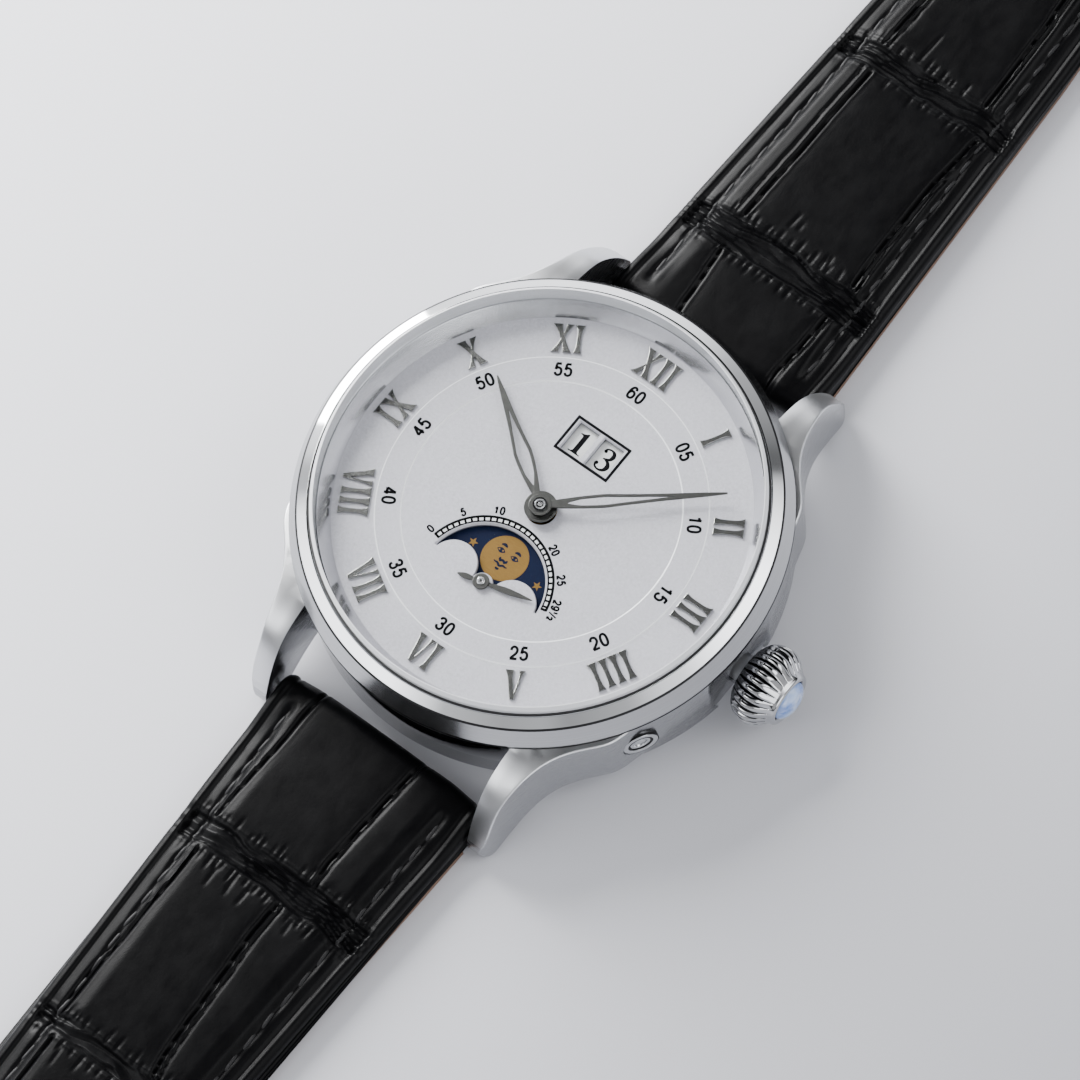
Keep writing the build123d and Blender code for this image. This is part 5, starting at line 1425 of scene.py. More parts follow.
class Half:
    """One strap half along +Y; side -1 turns it over to the 6 o'clock side."""

    def __init__(self, side, plan, top, end, bands, grooves, cuts, seed):
        self.side, self.plan, self.top, self.end = side, plan, top, end
        self.bands, self.grooves, self.cuts = bands, grooves, cuts
        self.n1, self.n2, self.n3 = Field(seed), Field(seed + 1), Field(seed + 2)
        rng = np.random.default_rng(seed + 9)
        self.fringe = []
        for b, (y0, y1) in enumerate(bands):
            for edge, way in ((y0, -1), (y1, 1)):
                x = -8.8
                while x < 8.8:
                    x += rng.uniform(0.42, 1.15)
                    if rng.random() < 0.16:
                        continue
                    self.fringe.append((x, edge, way, rng.uniform(0.7, 1.75), rng.uniform(-0.10, 0.10), rng.uniform(0.05, 0.11)))

    def half(self, y):
        return interp(self.plan, y)

    def edge(self, x, y):
        h = self.half(y)
        dh = (self.half(y + 0.05) - self.half(y - 0.05)) / 0.1
        e = (h - np.abs(x)) / np.sqrt(1 + dh * dh)
        if self.end > 120:
            e = np.minimum(e, 137.35 - y)
        return np.maximum(e, 0.0)

    def crown(self, y):
        a = smooth((y - 21.5) / 5.5)
        if self.end < 120:
            a = a * (1 - smooth((y - 82.0) / 9.0))
        return 0.25 + 0.75 * a

    def height(self, x, y):
        """Offset of the outer surface from the plain top, in mm."""
        e = self.edge(x, y)
        k = self.crown(y)
        d = -0.95 * k * (1 - smooth((e - 0.7) / 3.4))
        r = 0.58
        q = np.clip(r - e, 0, r)
        d = d - (r - np.sqrt(np.maximum(r * r - q * q, 0)))
        # crease line along the edge, with a soft lip outside it
        d = d - 0.13 * np.exp(-((e - 1.02) / 0.15) ** 2) + 0.05 * np.exp(-((e - 0.66) / 0.22) ** 2)
        # stitch channel
        st = smooth((y - 22.6) / 0.8) * (1 - smooth((y - (84.2 if self.end < 120 else 128.6)) / 0.8))
        pull = 1 + 0.9 * self.n2(x * 0.2, y * 1.1)
        d = d - 0.22 * st * pull * np.exp(-((e - 2.25) / 0.30) ** 2) + 0.05 * st * np.exp(-((e - 2.9) / 0.30) ** 2)
        inner = smooth((e - 0.55) / 0.5)
        near = np.full_like(x, 9.0)
        em = np.zeros_like(x)
        for i, (y0, y1) in enumerate(self.bands):
            w0 = y0 + 0.34 * self.n1(x * 0.33, i * 7.3) + 0.12 * self.n2(x * 1.1, i * 3.1)
            w1 = y1 + 0.42 * self.n1(x * 0.30 + 9.1, i * 5.7) + 0.14 * self.n2(x * 1.0 + 4.0, i * 2.3)
            m = smooth((y - w0) / 0.32) * smooth((w1 - y) / 0.32)
            t = (y - w0) / np.maximum(w1 - w0, 0.2)
            lines = max(2, round((y1 - y0) / 0.78))
            ph = t * lines + 1.5 * self.n1(x * 0.20 + 3.3 * i, t * 1.1) + 0.45 * self.n2(x * 0.62, t * 1.5 + i) + 0.06 * self.n3(x * 2.0, t * 2.0)
            ridge = 1 - np.abs(2 * (ph - np.floor(ph)) - 1)
            ridge = ridge ** 1.15 * (0.80 + 0.7 * self.n3(x * 0.55, np.floor(ph)))
            em = em + m * (-0.36 + 0.40 * ridge)
            em = em + 0.05 * np.exp(-((y - w0 + 0.22) / 0.20) ** 2) + 0.05 * np.exp(-((y - w1 - 0.22) / 0.20) ** 2)
            near = np.minimum(near, np.where(y < (w0 + w1) / 2, np.maximum(w0 - y, 0), np.maximum(y - w1, 0)))
        for y0, y1, x0, xm, x1, pair, depth in self.grooves:
            t = np.clip((y - y0) / (y1 - y0), -0.1, 1.1)
            xg = x0 * (1 - t) * (1 - 2 * t) + xm * 4 * t * (1 - t) + x1 * t * (2 * t - 1) + 0.16 * self.n2(y * 0.35, x0) + 0.06 * self.n3(y * 1.3, x0)
            a = smooth((y - y0 + 0.4) / 0.5) * smooth((y1 + 0.4 - y) / 0.5)
            u = x - xg
            em = em - 1.15 * depth * a * np.exp(-(u / 0.13) ** 2) + 0.05 * a * np.exp(-((np.abs(u) - 0.30) / 0.13) ** 2)
            if pair:
                em = em - 0.75 * depth * a * np.exp(-((u - pair) / 0.12) ** 2) + 0.06 * a * np.exp(-((u - pair / 2) / 0.12) ** 2)
            near = np.minimum(near, np.abs(u) + 9 * (1 - a))
        em = em - 0.15 * np.exp(-near / 0.55)
        for xc, ye, way, ln, lean, dp in self.fringe:
            sel = (np.abs(x - xc) < 0.7) & (np.abs(y - ye) < ln + 0.8)
            if not sel.any():
                continue
            s = (y[sel] - ye) * way
            u = x[sel] - xc - lean * s
            f = smooth((s + 0.2) / 0.25) * (1 - smooth((s - ln * 0.35) / (ln * 0.65)))
            em[sel] -= dp * 1.15 * f * np.exp(-(u / 0.105) ** 2)
        for xc, ya, yb, lean, dp in self.cuts:
            sel = (np.abs(x - xc) < 1.2) & (y > ya - 0.4) & (y < yb + 0.4)
            if sel.any():
                s = (y[sel] - ya) / (yb - ya)
                u = x[sel] - xc - lean * s * (yb - ya)
                em[sel] -= dp * np.clip(4 * s * (1 - s), 0, 1) ** 0.6 * np.exp(-(u / 0.13) ** 2)
        soft = 0.05 * self.n1(x * 0.16, y * 0.10) + 0.010 * self.n2(x * 0.7, y * 0.6)
        roll = smooth((y - 20.0) / 2.0)
        return d + (em * (0.25 + 0.75 * inner) + soft * inner) * roll

    # rows of the outer surface: pattern y, y, z, normal y, normal z
    def rows(self):
        out = [(17.8, 23.9, 0.05, 0, -1), (18.6, 23.0, 0.05, 0, -1)]
        for i in range(25):
            a = math.radians(-90 - 180 * i / 24)
            out.append((19.3 + 2.7 * i / 24, 22 + 1.70 * math.cos(a), 1.75 + 1.70 * math.sin(a), math.cos(a), math.sin(a)))
        y, ys = 22.0, []
        stop = self.end
        while y < stop - 0.02:
            near = min([abs(y - b) for bb in self.bands for b in bb] + [abs(y - (b[0] + b[1]) / 2) for b in self.bands])
            close = y < 62
            step = (0.11 if near < 1.9 else 0.26) if close else (0.20 if near < 1.7 else 0.42)
            if self.end > 120 and y > 131:
                step = 0.22
            y = min(stop, y + step)
            ys.append(y)
        for y in ys:
            out.append((y, y, float(interp(self.top, y)), 0, 1))
        if self.end < 120:
            for i in range(1, 17):
                a = math.radians(90 - 180 * i / 16)
                out.append((95 + 1.8 * i / 16, 95 + 1.2 * math.cos(a), 2.1 + 1.2 * math.sin(a), math.cos(a), math.sin(a)))
            out.append((97.5, 93.0, 0.90, 0, -1))
        return out

    def under(self):
        """Lower boundary from the far end back to the bar, as (y, z)."""
        if self.end < 120:
            pts = [(93.0, 1.70)] + [(y, 1.70) for y in np.arange(90.0, 65.1, -2.5)] + [(65.0, 1.70), (61.0, 1.25), (57.0, 0.80)]
            pts += [(y, 0.80) for y in np.arange(54.0, 25.0, -3.0)] + [(23.9, 0.80)]
            return pts
        ys = list(np.linspace(self.end, 126.5, 22)) + list(np.arange(124.0, 25.0, -3.0)) + [23.9]
        return [(float(y), 0.80) for y in ys]

    def columns(self):
        n = 132
        s = np.linspace(-1, 1, n + 1)
        u = np.sign(s) * (1 - (1 - np.abs(s)) ** 1.0)
        e = np.array([0.0, 0.006, 0.014, 0.026, 0.040])
        u = u[np.abs(u) < 0.955]
        extra = np.concatenate([1 - e, [0.945 + 0.0]])
        return np.unique(np.round(np.concatenate([u, extra, -extra]), 6))

    def leather(self):
        rows, cols = self.rows(), self.columns()
        R = np.array(rows)
        yy, y, z, ny, nz = (R[:, k][:, None] for k in range(5))
        hw = np.where(yy < 22, self.half(22.0), self.half(np.maximum(y, 22.0)))
        U = cols[None, :]
        X = U * hw
        PY = np.where(yy < 22, yy, np.maximum(yy, 22.0))
        Yp = np.broadcast_to(PY, X.shape).copy()
        D = self.height(X.copy(), np.clip(Yp, 15, 140))
        lim = np.where(yy < 22, 0.72, 9.0)
        D = np.maximum(D, -lim)
        arc = (yy > 95.0) & (self.end < 120)
        D = np.where(arc, np.maximum(D, -0.5), D)
        P = np.stack([X, y + ny * D, z + nz * D], 2)
        nr, nc = P.shape[:2]
        v = P.reshape(-1, 3)
        idx = np.arange(nr * nc).reshape(nr, nc)
        quads = np.stack([idx[:-1, :-1], idx[:-1, 1:], idx[1:, 1:], idx[1:, :-1]], -1).reshape(-1, 4)
        low = self.under()
        nv = nr * nc
        lows = []
        for yl, zl in low:
            h = float(self.half(yl)) if yl > 24 else 10.0
            lows += [(-h, yl, zl), (h, yl, zl)]
        v = np.concatenate([v, np.array(lows)])
        faces = [list(q) for q in quads]
        m = len(low)
        for i in range(m - 1):
            a = nv + 2 * i
            faces.append([a + 1, a, a + 2, a + 3][::-1])
        # the two ends
        faces.append(list(idx[-1]) + [nv + 1, nv])
        faces.append(([nv + 2 * (m - 1), nv + 2 * (m - 1) + 1] + list(idx[0][::-1])))
        # the two sides
        from mathutils.geometry import tessellate_polygon
        for col, off, flip in ((0, 0, False), (nc - 1, 1, True)):
            loop = list(idx[:, col]) + [nv + 2 * i + off for i in range(m)]
            co = [Vector((v[i][1], v[i][2], 0)) for i in loop]
            for tri in tessellate_polygon([co]):
                t = [loop[k] for k in tri]
                a, b, c = (v[k] for k in t)
                s = (b[1] - a[1]) * (c[2] - a[2]) - (b[2] - a[2]) * (c[1] - a[1])
                if abs(s) < 1e-12:
                    continue
                want = 1 if flip else -1
                faces.append(t if s * want > 0 else t[::-1])
        return self.placed(v, faces)

    def placed(self, v, faces):
        v = np.array(v, float)
        if self.side < 0:
            v[:, 1] *= -1
            faces = [list(f)[::-1] for f in faces]
        return v, faces

    def lining(self):
        """Lining slab with a grain side down and a sunk line under each seam."""
        ys = [24.0, 24.08, 24.25]
        while ys[-1] < self.end - 2.3:
            ys.append(ys[-1] + (0.8 if not (self.end > 120 and ys[-1] > 129) else 0.3))
        stop = 92.9 if self.end < 120 else self.end
        ys = [y for y in ys if y < stop - 0.3] + [stop - 0.25, stop - 0.08, stop]
        cols = np.unique(np.round(np.concatenate([np.linspace(-0.93, 0.93, 61), [-1, -0.996, -0.985, -0.965, -0.945, 0.945, 0.965, 0.985, 0.996, 1]]), 6))
        Y = np.array(ys)[:, None]
        H = np.array([float(self.half(y)) - 0.05 for y in ys])[:, None]
        X = cols[None, :] * H
        Yb = np.broadcast_to(Y, X.shape)
        if self.end < 120:
            z0 = np.interp(Yb, [57.0, 65.0, 93.0], [0.0, 0.90, 0.90])
            z1 = np.interp(Yb, [57.0, 65.0, 93.0], [0.80, 1.70, 1.70])
        else:
            z0, z1 = np.zeros_like(X), np.full_like(X, 0.80)
        e = self.edge(X, Yb.copy())
        q = np.clip(0.22 - e, 0, 0.22)
        dz = 0.22 - np.sqrt(0.22 ** 2 - q ** 2)
        stp = 84.2 if self.end < 120 else 128.6
        st = smooth((Yb - 23.0) / 0.6) * (1 - smooth((Yb - stp) / 0.6))
        dz = dz + 0.24 * st * np.exp(-((e - 2.25) / 0.26) ** 2) + 0.05 * np.exp(-((e - 1.0) / 0.15) ** 2)
        dz = dz + 0.02 + 0.02 * self.n2(X * 0.7, Yb * 0.7)
        B = np.stack([X, Yb, z0 + np.minimum(dz, 0.5)], 2)
        T = np.stack([X, Yb, z1 + 0 * X], 2)
        nr, nc = X.shape
        v = np.concatenate([B.reshape(-1, 3), T.reshape(-1, 3)])
        i0 = np.arange(nr * nc).reshape(nr, nc)
        i1 = i0 + nr * nc
        f = []
        for g, flip in ((i0, True), (i1, False)):
            qd = np.stack([g[:-1, :-1], g[:-1, 1:], g[1:, 1:], g[1:, :-1]], -1).reshape(-1, 4)
            f += [list(a[::-1]) if flip else list(a) for a in qd]
        for r in range(nr - 1):
            f.append([i0[r, 0], i1[r, 0], i1[r + 1, 0], i0[r + 1, 0]])
            f.append([i0[r, -1], i0[r + 1, -1], i1[r + 1, -1], i1[r, -1]])
        for c in range(nc - 1):
            f.append([i0[0, c], i0[0, c + 1], i1[0, c + 1], i1[0, c]])
            f.append([i0[-1, c], i1[-1, c], i1[-1, c + 1], i0[-1, c + 1]])
        return self.placed(v, f)

    def stitches(self):
        """Thread runs, each a bent capsule that dives into its holes, above and below."""
        v, f = [], []
        rng = np.random.default_rng(77 + self.side)
        y0, y1 = 23.6, (83.6 if self.end < 120 else 128.0)
        n = int(round((y1 - y0) / 2.16))
        pitch = (y1 - y0) / n
        rad, around, along = 0.18, 8, 9
        for s in (-1, 1):
            for face in (1, -1):
                for i in range(n):
                    ca = y0 + pitch * (i + 0.5) + rng.uniform(-0.05, 0.05) + (0 if face > 0 else pitch / 2)
                    if face < 0 and i == n - 1:
                        continue
                    ln = pitch * 0.90 * rng.uniform(0.96, 1.03)
                    lean = rng.uniform(0.05, 0.11) * s
                    base = len(v)
                    for j in range(along):
                        t = -0.5 + j / (along - 1)
                        yc = ca + t * ln
                        hw = float(self.half(yc))
                        xc = s * (hw - 2.25) + lean * t * 2
                        arch = 1 - (2 * abs(t)) ** 3.2
                        rr = rad * max(0.30, (1 - (2 * abs(t)) ** 6) ** 0.5)
                        if face > 0:
                            ztop = float(interp(self.top, yc)) + float(self.height(np.array([[xc]]), np.array([[yc]]))[0, 0])
                            zc = ztop - 0.26 + 0.23 * arch
                        else:
                            zl = float(np.interp(yc, [57.0, 65.0], [0.0, 0.90])) if self.end < 120 else 0.0
                            zc = zl + 0.42 - 0.20 * arch
                        for k in range(around):
                            a = 2 * math.pi * k / around
                            v.append((xc + rr * math.cos(a), yc, zc + rr * math.sin(a) * (0.85 if face > 0 else 0.8)))
                    for j in range(along - 1):
                        for k in range(around):
                            p, q = base + j * around + k, base + j * around + (k + 1) % around
                            f.append([p, q, q + around, p + around][::-1])
                    f.append([base + k for k in range(around)])
                    e = base + (along - 1) * around
                    f.append([e + k for k in range(around)][::-1])
        return self.placed(np.array(v), f)


UP = Half(1, PLAIN, TOP_SHORT, 95.0,
          [(28.75, 31.6), (48.7, 51.1), (67.4, 69.4), (84.6, 86.2)],
          [(20.6, 28.7, -3.85, -4.1, -4.55, 0.0, 0.22), (20.6, 28.7, 5.8, 5.95, 6.25, 0.34, 0.22),
           (31.9, 48.5, -4.75, -4.62, -4.33, -0.75, 0.20), (31.9, 48.5, 6.22, 5.92, 6.36, 0.42, 0.22),
           (51.3, 67.3, -5.05, -4.85, -5.3, 0.5, 0.20), (51.3, 67.3, 5.2, 4.85, 4.5, 0.42, 0.22),
           (69.7, 84.4, -3.0, -2.7, -3.2, 0.40, 0.19), (69.7, 84.4, 4.9, 5.1, 4.8, 0.0, 0.19)],
          [(-1.2, 33.0, 34.7, 0.10, 0.10), (-0.4, 33.2, 34.1, 0.06, 0.08), (3.5, 31.9, 33.2, -0.12, 0.09), (-1.75, 51.2, 54.6, 0.06, 0.11),
           (1.6, 69.5, 71.4, 0.08, 0.09), (-4.2, 53.0, 55.2, -0.04, 0.06)], 31)
DOWN = Half(-1, TIP, TOP_LONG, 137.0,
            [(33.8, 36.45), (53.3, 55.1), (71.8, 73.8), (89.7, 91.3), (106.6, 108.2), (122.6, 124.0)],
            [(20.6, 33.7, -6.36, -6.55, -6.85, 0.0, 0.20), (20.6, 33.7, 3.72, 3.16, 2.98, 0.36, 0.22),
             (36.6, 53.2, -6.25, -6.35, -6.38, -0.42, 0.20), (36.6, 53.2, 1.72, 1.98, 2.75, 0.55, 0.22),
             (55.3, 71.7, -5.6, -5.4, -5.0, 0.0, 0.19), (55.3, 71.7, 3.5, 3.9, 3.6, -0.5, 0.20),
             (74.0, 89.6, -4.6, -4.4, -4.7, 0.42, 0.19), (74.0, 89.6, 2.6, 2.9, 3.3, 0.0, 0.19),
             (91.5, 106.5, -4.9, -5.1, -4.8, 0.0, 0.18), (91.5, 106.5, 3.9, 3.7, 4.2, 0.4, 0.18),
             (108.4, 122.5, -4.2, -4.4, -3.9, -0.4, 0.18), (108.4, 122.5, 3.4, 3.1, 3.0, 0.0, 0.18)],
            [(-3.9, 36.9, 38.9, 0.05, 0.09), (-2.2, 36.9, 38.5, 0.10, 0.08), (-0.7, 37.0, 38.6, -0.05, 0.09), (3.6, 36.8, 38.4, 0.10, 0.08),
             (-4.4, 55.3, 57.3, 0.08, 0.09), (0.8, 74.0, 76.2, 0.06, 0.08)], 61)


def bar_cutter(r, y, z, n=40):
    v, f = lathe_data([(0, -12.0), (r, -12.0), (r, 12.0), (0, 12.0)], n)
    v = np.array(v)
    return mesh_from(np.stack([v[:, 2], v[:, 0] + y, v[:, 1] + z], 1), f)


def hole_cutter(y, zt, top_only=False):
    v, f = lathe_data([(0, -0.5), (1.06, -0.5), (0.96, 0.14), (0.95, 0.3), (0.95, zt - 0.35), (1.02, zt - 0.12), (1.22, zt + 0.05), (1.22, zt + 0.6), (0, zt + 0.6)], 40, (0.0, y))
    return mesh_from(v, f)


def solid_cut(me, cutters, name):
    """Exact difference of a copy of the mesh."""
    return boolean_cut(me.copy(), cutters, name)


def slot_cutter(y0, y1, half):
    pts = [(half * math.cos(t), y0 + half + half * math.sin(t)) for t in np.linspace(math.pi, 2 * math.pi, 17)] + [(half, y1), (-half, y1)]
    me = poly_solid([(x, y) for x, y in pts], -1.0, 6.0)
    return me


HOLES = [86.0 + 6.5 * i for i in range(7)]


def strap(half, prefix, body):
    v, f = half.leather()
    me = mesh_from(v, f, prefix)
    s = half.side
    cuts = [bar_cutter(0.92, s * 22.0, 1.75)]
    if s > 0:
        cuts += [bar_cutter(0.67, 95.0, 2.1), slot_cutter(90.0, 98.0, 1.2)]
    else:
        cuts += [hole_cutter(-y, float(interp(TOP_LONG, y))) for y in HOLES]
    me = solid_cut(me, cuts, prefix)
    dress(prefix + "_leather_embossed", me, M_LEATHER, body, [prefix + "_leather"], 60)
    v, f = half.lining()
    me = mesh_from(v, f, prefix)
    cuts = [slot_cutter(90.0, 98.0, 1.2)] if s > 0 else [hole_cutter(-y, 3.0) for y in HOLES]
    me = solid_cut(me, cuts, prefix)
    dress(prefix + "_lining_grained", me, M_LINING, body, [prefix + "_lining"], 45)
    v, f = half.stitches()
    put(prefix + "_thread_runs", v, f, M_THREAD, body, replaces=[prefix + "_stitching"], slot="black_thread", sharp=60)


strap(UP, "strap_short", "strap_short")
strap(DOWN, "strap_long", "strap_long")


def keeper(name, node, body, path, closed, y0, y1, thick):
    """Leather loop: a flat band with rounded, creased edges swept along a path of (x, z, nx, nz)."""
    w = y1 - y0
    sec = [(0.0, 0.12), (0.10, 0.02), (0.30, 0.0), (thick - 0.28, 0.0), (thick - 0.10, 0.05), (thick, 0.22), (thick, 0.48), (thick - 0.07, 0.58), (thick, 0.68),
           (thick + 0.0, w * 0.5)]
    sec = sec + [(a, w - b) for a, b in sec[-2::-1]]
    v, f = [], []
    for x, z, nx, nz in path:
        for a, b in sec:
            v.append((x + nx * a, y0 + b, z + nz * a))
    n, m = len(path), len(sec)
    for i in range(n if closed else n - 1):
        j = (i + 1) % n
        for k in range(m):
            l = (k + 1) % m
            f.append([i * m + k, j * m + k, j * m + l, i * m + l])
    if not closed:
        f.append([k for k in range(m)][::-1][::-1])
        f.append([(n - 1) * m + k for k in range(m)][::-1])
    me = mesh_from(v, f, name)
    import bmesh
    bm = bmesh.new()
    bm.from_mesh(me)
    bmesh.ops.recalc_face_normals(bm, faces=bm.faces)
    bm.to_mesh(me)
    bm.free()
    return dress(name, me, M_LEATHER, body, [node], 50)


def loop_path(hx, z0, z1, r, closed=True):
    """Rounded rectangle as inner line with outward normals, from the lower right round to the lower left."""
    out = []

    def corner(cx, cz, a0, a1):
        for t in np.linspace(a0, a1, 9):
            c, s = math.cos(math.radians(t)), math.sin(math.radians(t))
            out.append((cx + r * c, cz + r * s, c, s))
    if closed:
        corner(hx - r, z0 + r, -90, 0)
    else:
        out.append((hx, z0, 1, 0))
    out.append((hx, (z0 + z1) / 2, 1, 0))
    corner(hx - r, z1 - r, 0, 90)
    for t in np.linspace(0.6, -0.6, 7):
        out.append((t * hx, z1 + 0.02 * (1 - abs(t)), 0, 1))
    corner(-hx + r, z1 - r, 90, 180)
    out.append((-hx, (z0 + z1) / 2, -1, 0))
    if closed:
        corner(-hx + r, z0 + r, 180, 270)
        out.append((-hx * 0.5, z0, 0, -1))
        out.append((hx * 0.5, z0, 0, -1))
    else:
        out.append((-hx, z0, -1, 0))
    return out


keeper("keeper_free_leather", "free_keeper", "free_keeper_group", loop_path(8.60, 0.80, 6.08, 0.55), True, 72.0, 76.0, 0.78)
keeper("keeper_fixed_leather", "fixed_keeper", "strap_short", loop_path(8.06, 1.05, 6.08, 0.7, False), False, 85.0, 89.5, 0.80)


# ---------------------------------------------------------------------------
# CAD pieces that keep their shape, with softened edges
# ---------------------------------------------------------------------------
def soften(node, width, segments=2, angle=32, weld=0.0004):
    ob = NODES[node]
    w = ob.modifiers.new("weld", "WELD")
    w.merge_threshold = weld * MM
    b = ob.modifiers.new("edge", "BEVEL")
    b.width, b.segments, b.limit_method, b.angle_limit = width * MM, segments, "ANGLE", math.radians(angle)
    b.harden_normals = False
    b.use_clamp_overlap = True




def case_eased(width=0.10):
    """The case middle with its long outer edges eased; the corrector's and crown's seats stay crisp."""
    import bmesh
    bm = bmesh.new()
    bm.from_mesh(NODES["case_middle"].data)
    bmesh.ops.remove_doubles(bm, verts=bm.verts, dist=0.0004 * MM)
    seat = (20.0 * math.cos(math.radians(-30)) * MM, 20.0 * math.sin(math.radians(-30)) * MM, 6.1 * MM)
    pick = []
    for e in bm.edges:
        if len(e.link_faces) != 2 or e.calc_face_angle(0.0) < math.radians(38):
            continue
        a, b = (v.co for v in e.verts)
        mid = (a + b) / 2
        if (mid - Vector(seat)).length < 3.0 * MM or abs(mid.y) < 4.6 * MM or math.hypot(mid.x, mid.y) < 18.9 * MM or mid.z < 0.3 * MM:
            continue
        pick.append(e)
    bmesh.ops.bevel(bm, geom=pick, offset=width * MM, offset_type="OFFSET", segments=2, profile=0.5, affect="EDGES", clamp_overlap=True, material=1)
    bmesh.ops.recalc_face_normals(bm, faces=bm.faces)
    me = bpy.data.meshes.new("case_middle_eased")
    bm.to_mesh(me)
    bm.free()
    fm = [min(p_.material_index, 1) for p_ in me.polygons]
    me.materials.clear()
    return me, fm


_me, _fm = case_eased()
dress("case_middle_eased", _me, None, "case", ["case_middle"], 30, mats=[M_CASE, M_POL], face_mats=_fm)
coat(["buckle_frame", "buckle_tongue"], M_BUCKLE)
soften("buckle_frame", 0.22, 3)
soften("buckle_tongue", 0.16, 3)


def corrector(name, node, body, prof, mat):
    """Turned piece along the corrector's axis; profile of (r, distance from the centre)."""
    v, f = lathe_data(supported(prof, 0.2, 0.03), 72)
    v = np.array(v)
    a = math.radians(-30.0)
    x = v[:, 2] * math.cos(a) - v[:, 0] * math.sin(a)
    y = v[:, 2] * math.sin(a) + v[:, 0] * math.cos(a)
    me = mesh_from(np.stack([x, y, v[:, 1] + 6.1], 1), f, name)
    import bmesh
    bm = bmesh.new()
    bm.from_mesh(me)
    bmesh.ops.recalc_face_normals(bm, faces=bm.faces)
    bm.to_mesh(me)
    bm.free()
    dress(name, me, mat, body, [node], 25)


corrector("corrector_bush_turned", "corrector_bush", "case", [(0.56, 16.9), (1.50, 16.9), (1.46, 19.99), (1.44, 20.04), (1.39, 20.06), (1.13, 20.06), (1.06, 20.03), (1.02, 19.96), (0.98, 19.88), (0.98, 18.3), (0.56, 18.3)], M_POL)
corrector("corrector_pusher_turned", "corrector_pusher", "corrector_group", [(0, 15.2), (0.5, 15.2), (0.5, 19.08), (0.88, 19.08), (0.91, 19.12), (0.91, 19.86), (0.88, 19.93), (0.82, 19.96), (0.66, 19.96), (0.59, 19.92), (0.56, 19.80), (0.46, 19.80), (0.43, 19.87), (0.12, 19.95), (0, 19.96)], M_POL)



def corrector_ring(name, body, r0, r1, at0, at1):
    """Thin dark joint ring of the corrector."""
    v, f = lathe_data([(r0, at0), (r1, at0), (r1, at1), (r0, at1)], 72)
    v = np.array(v)
    a = math.radians(-30.0)
    x = v[:, 2] * math.cos(a) - v[:, 0] * math.sin(a)
    y = v[:, 2] * math.sin(a) + v[:, 0] * math.cos(a)
    dress(name, mesh_from(np.stack([x, y, v[:, 1] + 6.1], 1), f, name), M_LINE, body, sharp=25)


corrector_ring("corrector_outer_joint", "case", 1.45, 1.535, 19.80, 20.03)
corrector_ring("corrector_inner_joint", "case", 0.90, 1.035, 19.60, 20.02)

# ---------------------------------------------------------------------------
# Floor, light, camera
# ---------------------------------------------------------------------------
def make_floor():
    me = bpy.data.meshes.new("studio_floor")
    s = 3.0
    me.from_pydata([(-s, -s, -0.00002), (s, -s, -0.00002), (s, s, -0.00002), (-s, s, -0.00002)], [], [[0, 1, 2, 3]])
    m = Mat("studio_floor_painted_falloff")
    n = m.noise(0.02, 3.0, 0.5)
    fx = m.split()[0]
    # painted light falloff: the floor colour runs from pale on the -X side, towards the key light, to a darker grey on
    # the +X side
    col = m.mixc(m.remap(fx, -70.0, 70.0, 0.0, 1.0), (0.90, 0.905, 0.955), (0.372, 0.376, 0.406))
    m.set(base=m.mixc(m.remap(n, 0.3, 0.7, 0, 0.06), col, (0.60, 0.605, 0.63)), rough=0.55, spec=0.2)
    me.materials.append(m.m)
    ob = bpy.data.objects.new("studio_floor", me)
    bpy.context.scene.collection.objects.link(ob)


make_floor()


def area(name, loc, target, sx, sy, power, color=(1, 1, 1)):
    l = bpy.data.lights.new(name, "AREA")
    l.shape, l.size, l.size_y, l.energy, l.color = "RECTANGLE", sx, sy, power, color
    ob = bpy.data.objects.new(name, l)
    ob.location = loc
    d = Vector(target) - Vector(loc)
    ob.rotation_euler = d.to_track_quat("-Z", "Y").to_euler()
    bpy.context.scene.collection.objects.link(ob)
    return ob


area("key_left", (-0.33, 0.10, 0.20), (0, 0, 0), 0.18, 0.34, 5.0, (1.0, 1.0, 1.0))
_top = area("soft_top", (-0.08, 0.04, 0.80), (0, 0, 0), 0.75, 0.75, 2.2, (0.985, 0.99, 1.0))
_top.visible_glossy = False


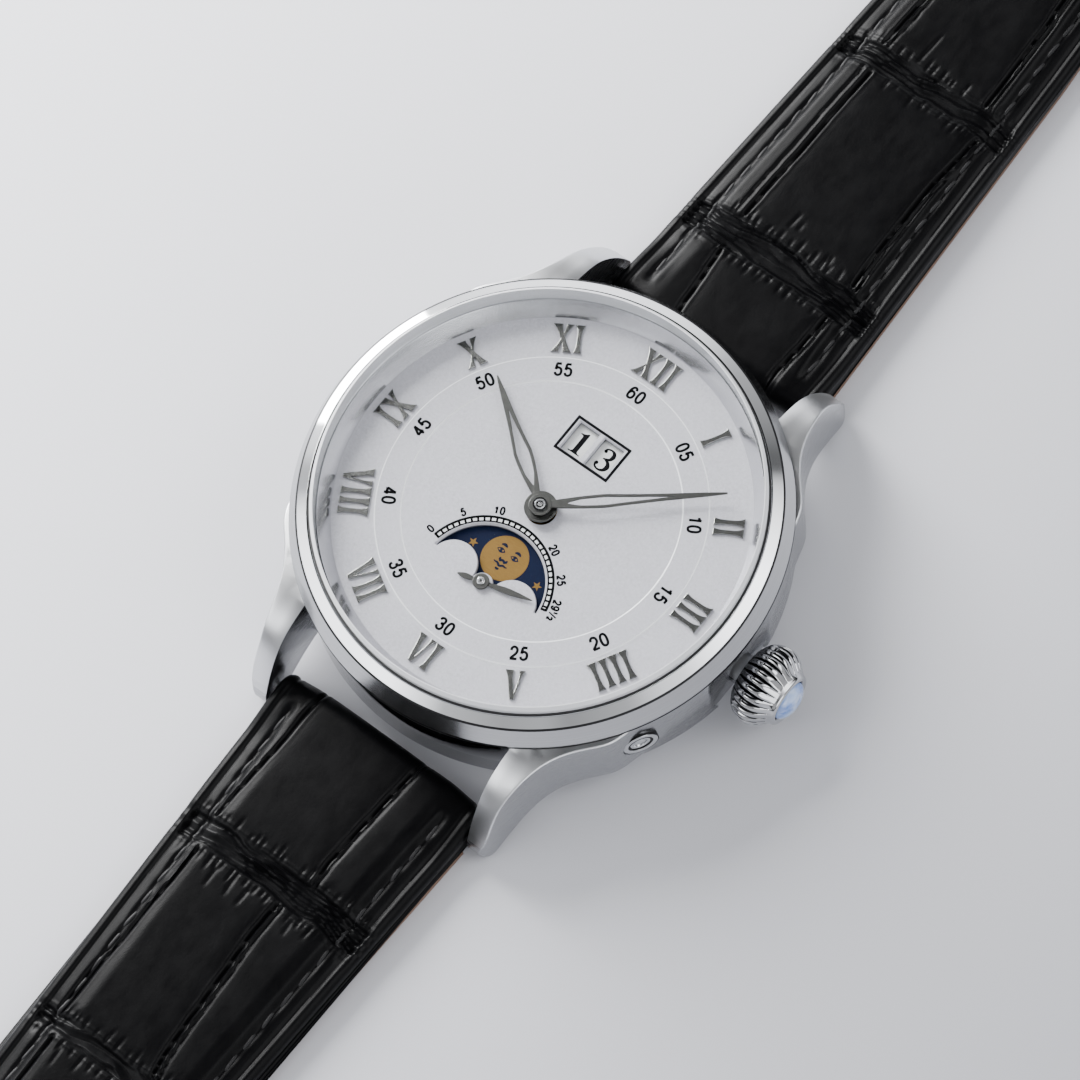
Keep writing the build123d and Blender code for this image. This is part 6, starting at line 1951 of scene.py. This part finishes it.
def make_world():
    """Soft tent: dark overhead, a bright band lower down, brighter to the left, with two dark gaps."""
    world = bpy.data.worlds.new("studio_world")
    bpy.context.scene.world = world
    world.use_nodes = True
    nt = world.node_tree
    nt.nodes.clear()
    out = nt.nodes.new("ShaderNodeOutputWorld")
    bg = nt.nodes.new("ShaderNodeBackground")
    nt.links.new(bg.outputs[0], out.inputs[0])
    tc = nt.nodes.new("ShaderNodeTexCoord")
    sp = nt.nodes.new("ShaderNodeSeparateXYZ")
    nt.links.new(tc.outputs["Generated"], sp.inputs[0])

    def ramp(src, stops, interp="EASE"):
        n = nt.nodes.new("ShaderNodeValToRGB")
        n.color_ramp.interpolation = interp
        while len(n.color_ramp.elements) < len(stops):
            n.color_ramp.elements.new(0.5)
        for e, (q, c) in zip(n.color_ramp.elements, stops):
            e.position, e.color = q, (c, c, c, 1)
        nt.links.new(src, n.inputs[0])
        return n.outputs[0]

    def op(kind, x, y):
        n = nt.nodes.new("ShaderNodeMath")
        n.operation = kind
        for s_, v_ in zip(n.inputs, (x, y)):
            if isinstance(v_, (int, float)):
                s_.default_value = v_
            else:
                nt.links.new(v_, s_)
        return n.outputs[0]

    dot = nt.nodes.new("ShaderNodeVectorMath")
    dot.operation = "DOT_PRODUCT"
    nt.links.new(tc.outputs["Generated"], dot.inputs[0])
    dot.inputs[1].default_value = (-0.313, 0.255, 0.915)
    ring = ramp(dot.outputs["Value"], [(0.0, 0.0), (0.30, 0.0), (0.44, 1.0), (0.70, 1.0), (0.80, 0.0), (1.0, 0.0)])
    ang = op("ARCTAN2", sp.outputs[1], sp.outputs[0])
    turn = op("ADD", op("MULTIPLY", ang, 1 / (2 * math.pi)), 0.5)
    side = ramp(turn, [(0.0, 1.0), (0.10, 0.9), (0.14, 0.12), (0.18, 0.12), (0.23, 0.8), (0.33, 0.9), (0.37, 0.15), (0.43, 0.15), (0.48, 0.9), (0.66, 0.9), (0.70, 0.15), (0.76, 0.15), (0.81, 1.0), (1.0, 1.0)])
    low = ramp(sp.outputs[2], [(0.0, 0.12), (0.06, 0.16), (0.15, 0.9), (0.45, 1.0), (0.62, 0.5), (1.0, 0.4)])
    spot = ramp(dot.outputs["Value"], [(0.0, 1.0), (0.62, 1.0), (0.80, 0.065), (1.0, 0.065)])
    base = op("MULTIPLY", op("MULTIPLY", low, side), spot)
    rim = nt.nodes.new("ShaderNodeVectorMath")
    rim.operation = "DOT_PRODUCT"
    nt.links.new(tc.outputs["Generated"], rim.inputs[0])
    rim.inputs[1].default_value = (0.840, -0.390, 0.377)
    glow = ramp(rim.outputs["Value"], [(0.0, 0.0), (0.90, 0.0), (0.97, 1.0), (1.0, 1.0)])
    near = ramp(sp.outputs[2], [(0.0, 0.35), (0.35, 0.55), (0.75, 1.0), (1.0, 1.0)])
    gaps = [(0.0, 0.9), (0.012, 0.10), (0.024, 0.10), (0.038, 1.5), (0.060, 1.9), (0.129, 1.95), (0.176, 1.7), (0.200, 0.9), (0.230, 0.22), (0.293, 0.10), (0.363, 0.16), (0.435, 0.24),
            (0.504, 0.55), (0.565, 1.6), (0.617, 1.95), (0.663, 1.2), (0.690, 0.6), (0.700, 0.03), (0.712, 0.05), (0.740, 0.23), (0.773, 0.43), (0.803, 1.1), (0.830, 1.6), (0.856, 1.95),
            (0.885, 1.95), (0.906, 1.5), (0.932, 0.95), (0.958, 0.69), (0.984, 1.1), (1.0, 0.9)]
    gapped = op("MULTIPLY", ramp(turn, [(q, c / 2) for q, c in gaps], "LINEAR"), 2.0)
    total = op("ADD", op("MULTIPLY", base, 0.75), op("MULTIPLY", op("MULTIPLY", ring, near), op("MULTIPLY", gapped, 2.35)))
    total = op("ADD", total, op("MULTIPLY", glow, 3.0))
    nt.links.new(total, bg.inputs[1])
    bg.inputs[0].default_value = (0.97, 0.98, 1.0, 1)
    return bg


_bg = make_world()

cam_data = bpy.data.cameras.new("camera")
cam_data.sensor_width, cam_data.lens = 36.0, 180.93
cam_data.clip_start, cam_data.clip_end = 0.01, 20.0
cam = bpy.data.objects.new("camera", cam_data)
_R = [[0.78148684, 0.61643031, -0.09639495], [0.54113525, -0.74655896, -0.38706892], [-0.31056553, 0.25032656, -0.91699818]]
cam.matrix_world = Matrix(((_R[0][0], -_R[1][0], -_R[2][0], 0.13354), (_R[0][1], -_R[1][1], -_R[2][1], -0.10851), (_R[0][2], -_R[1][2], -_R[2][2], 0.39945), (0, 0, 0, 1)))
bpy.context.scene.collection.objects.link(cam)
bpy.context.scene.camera = cam
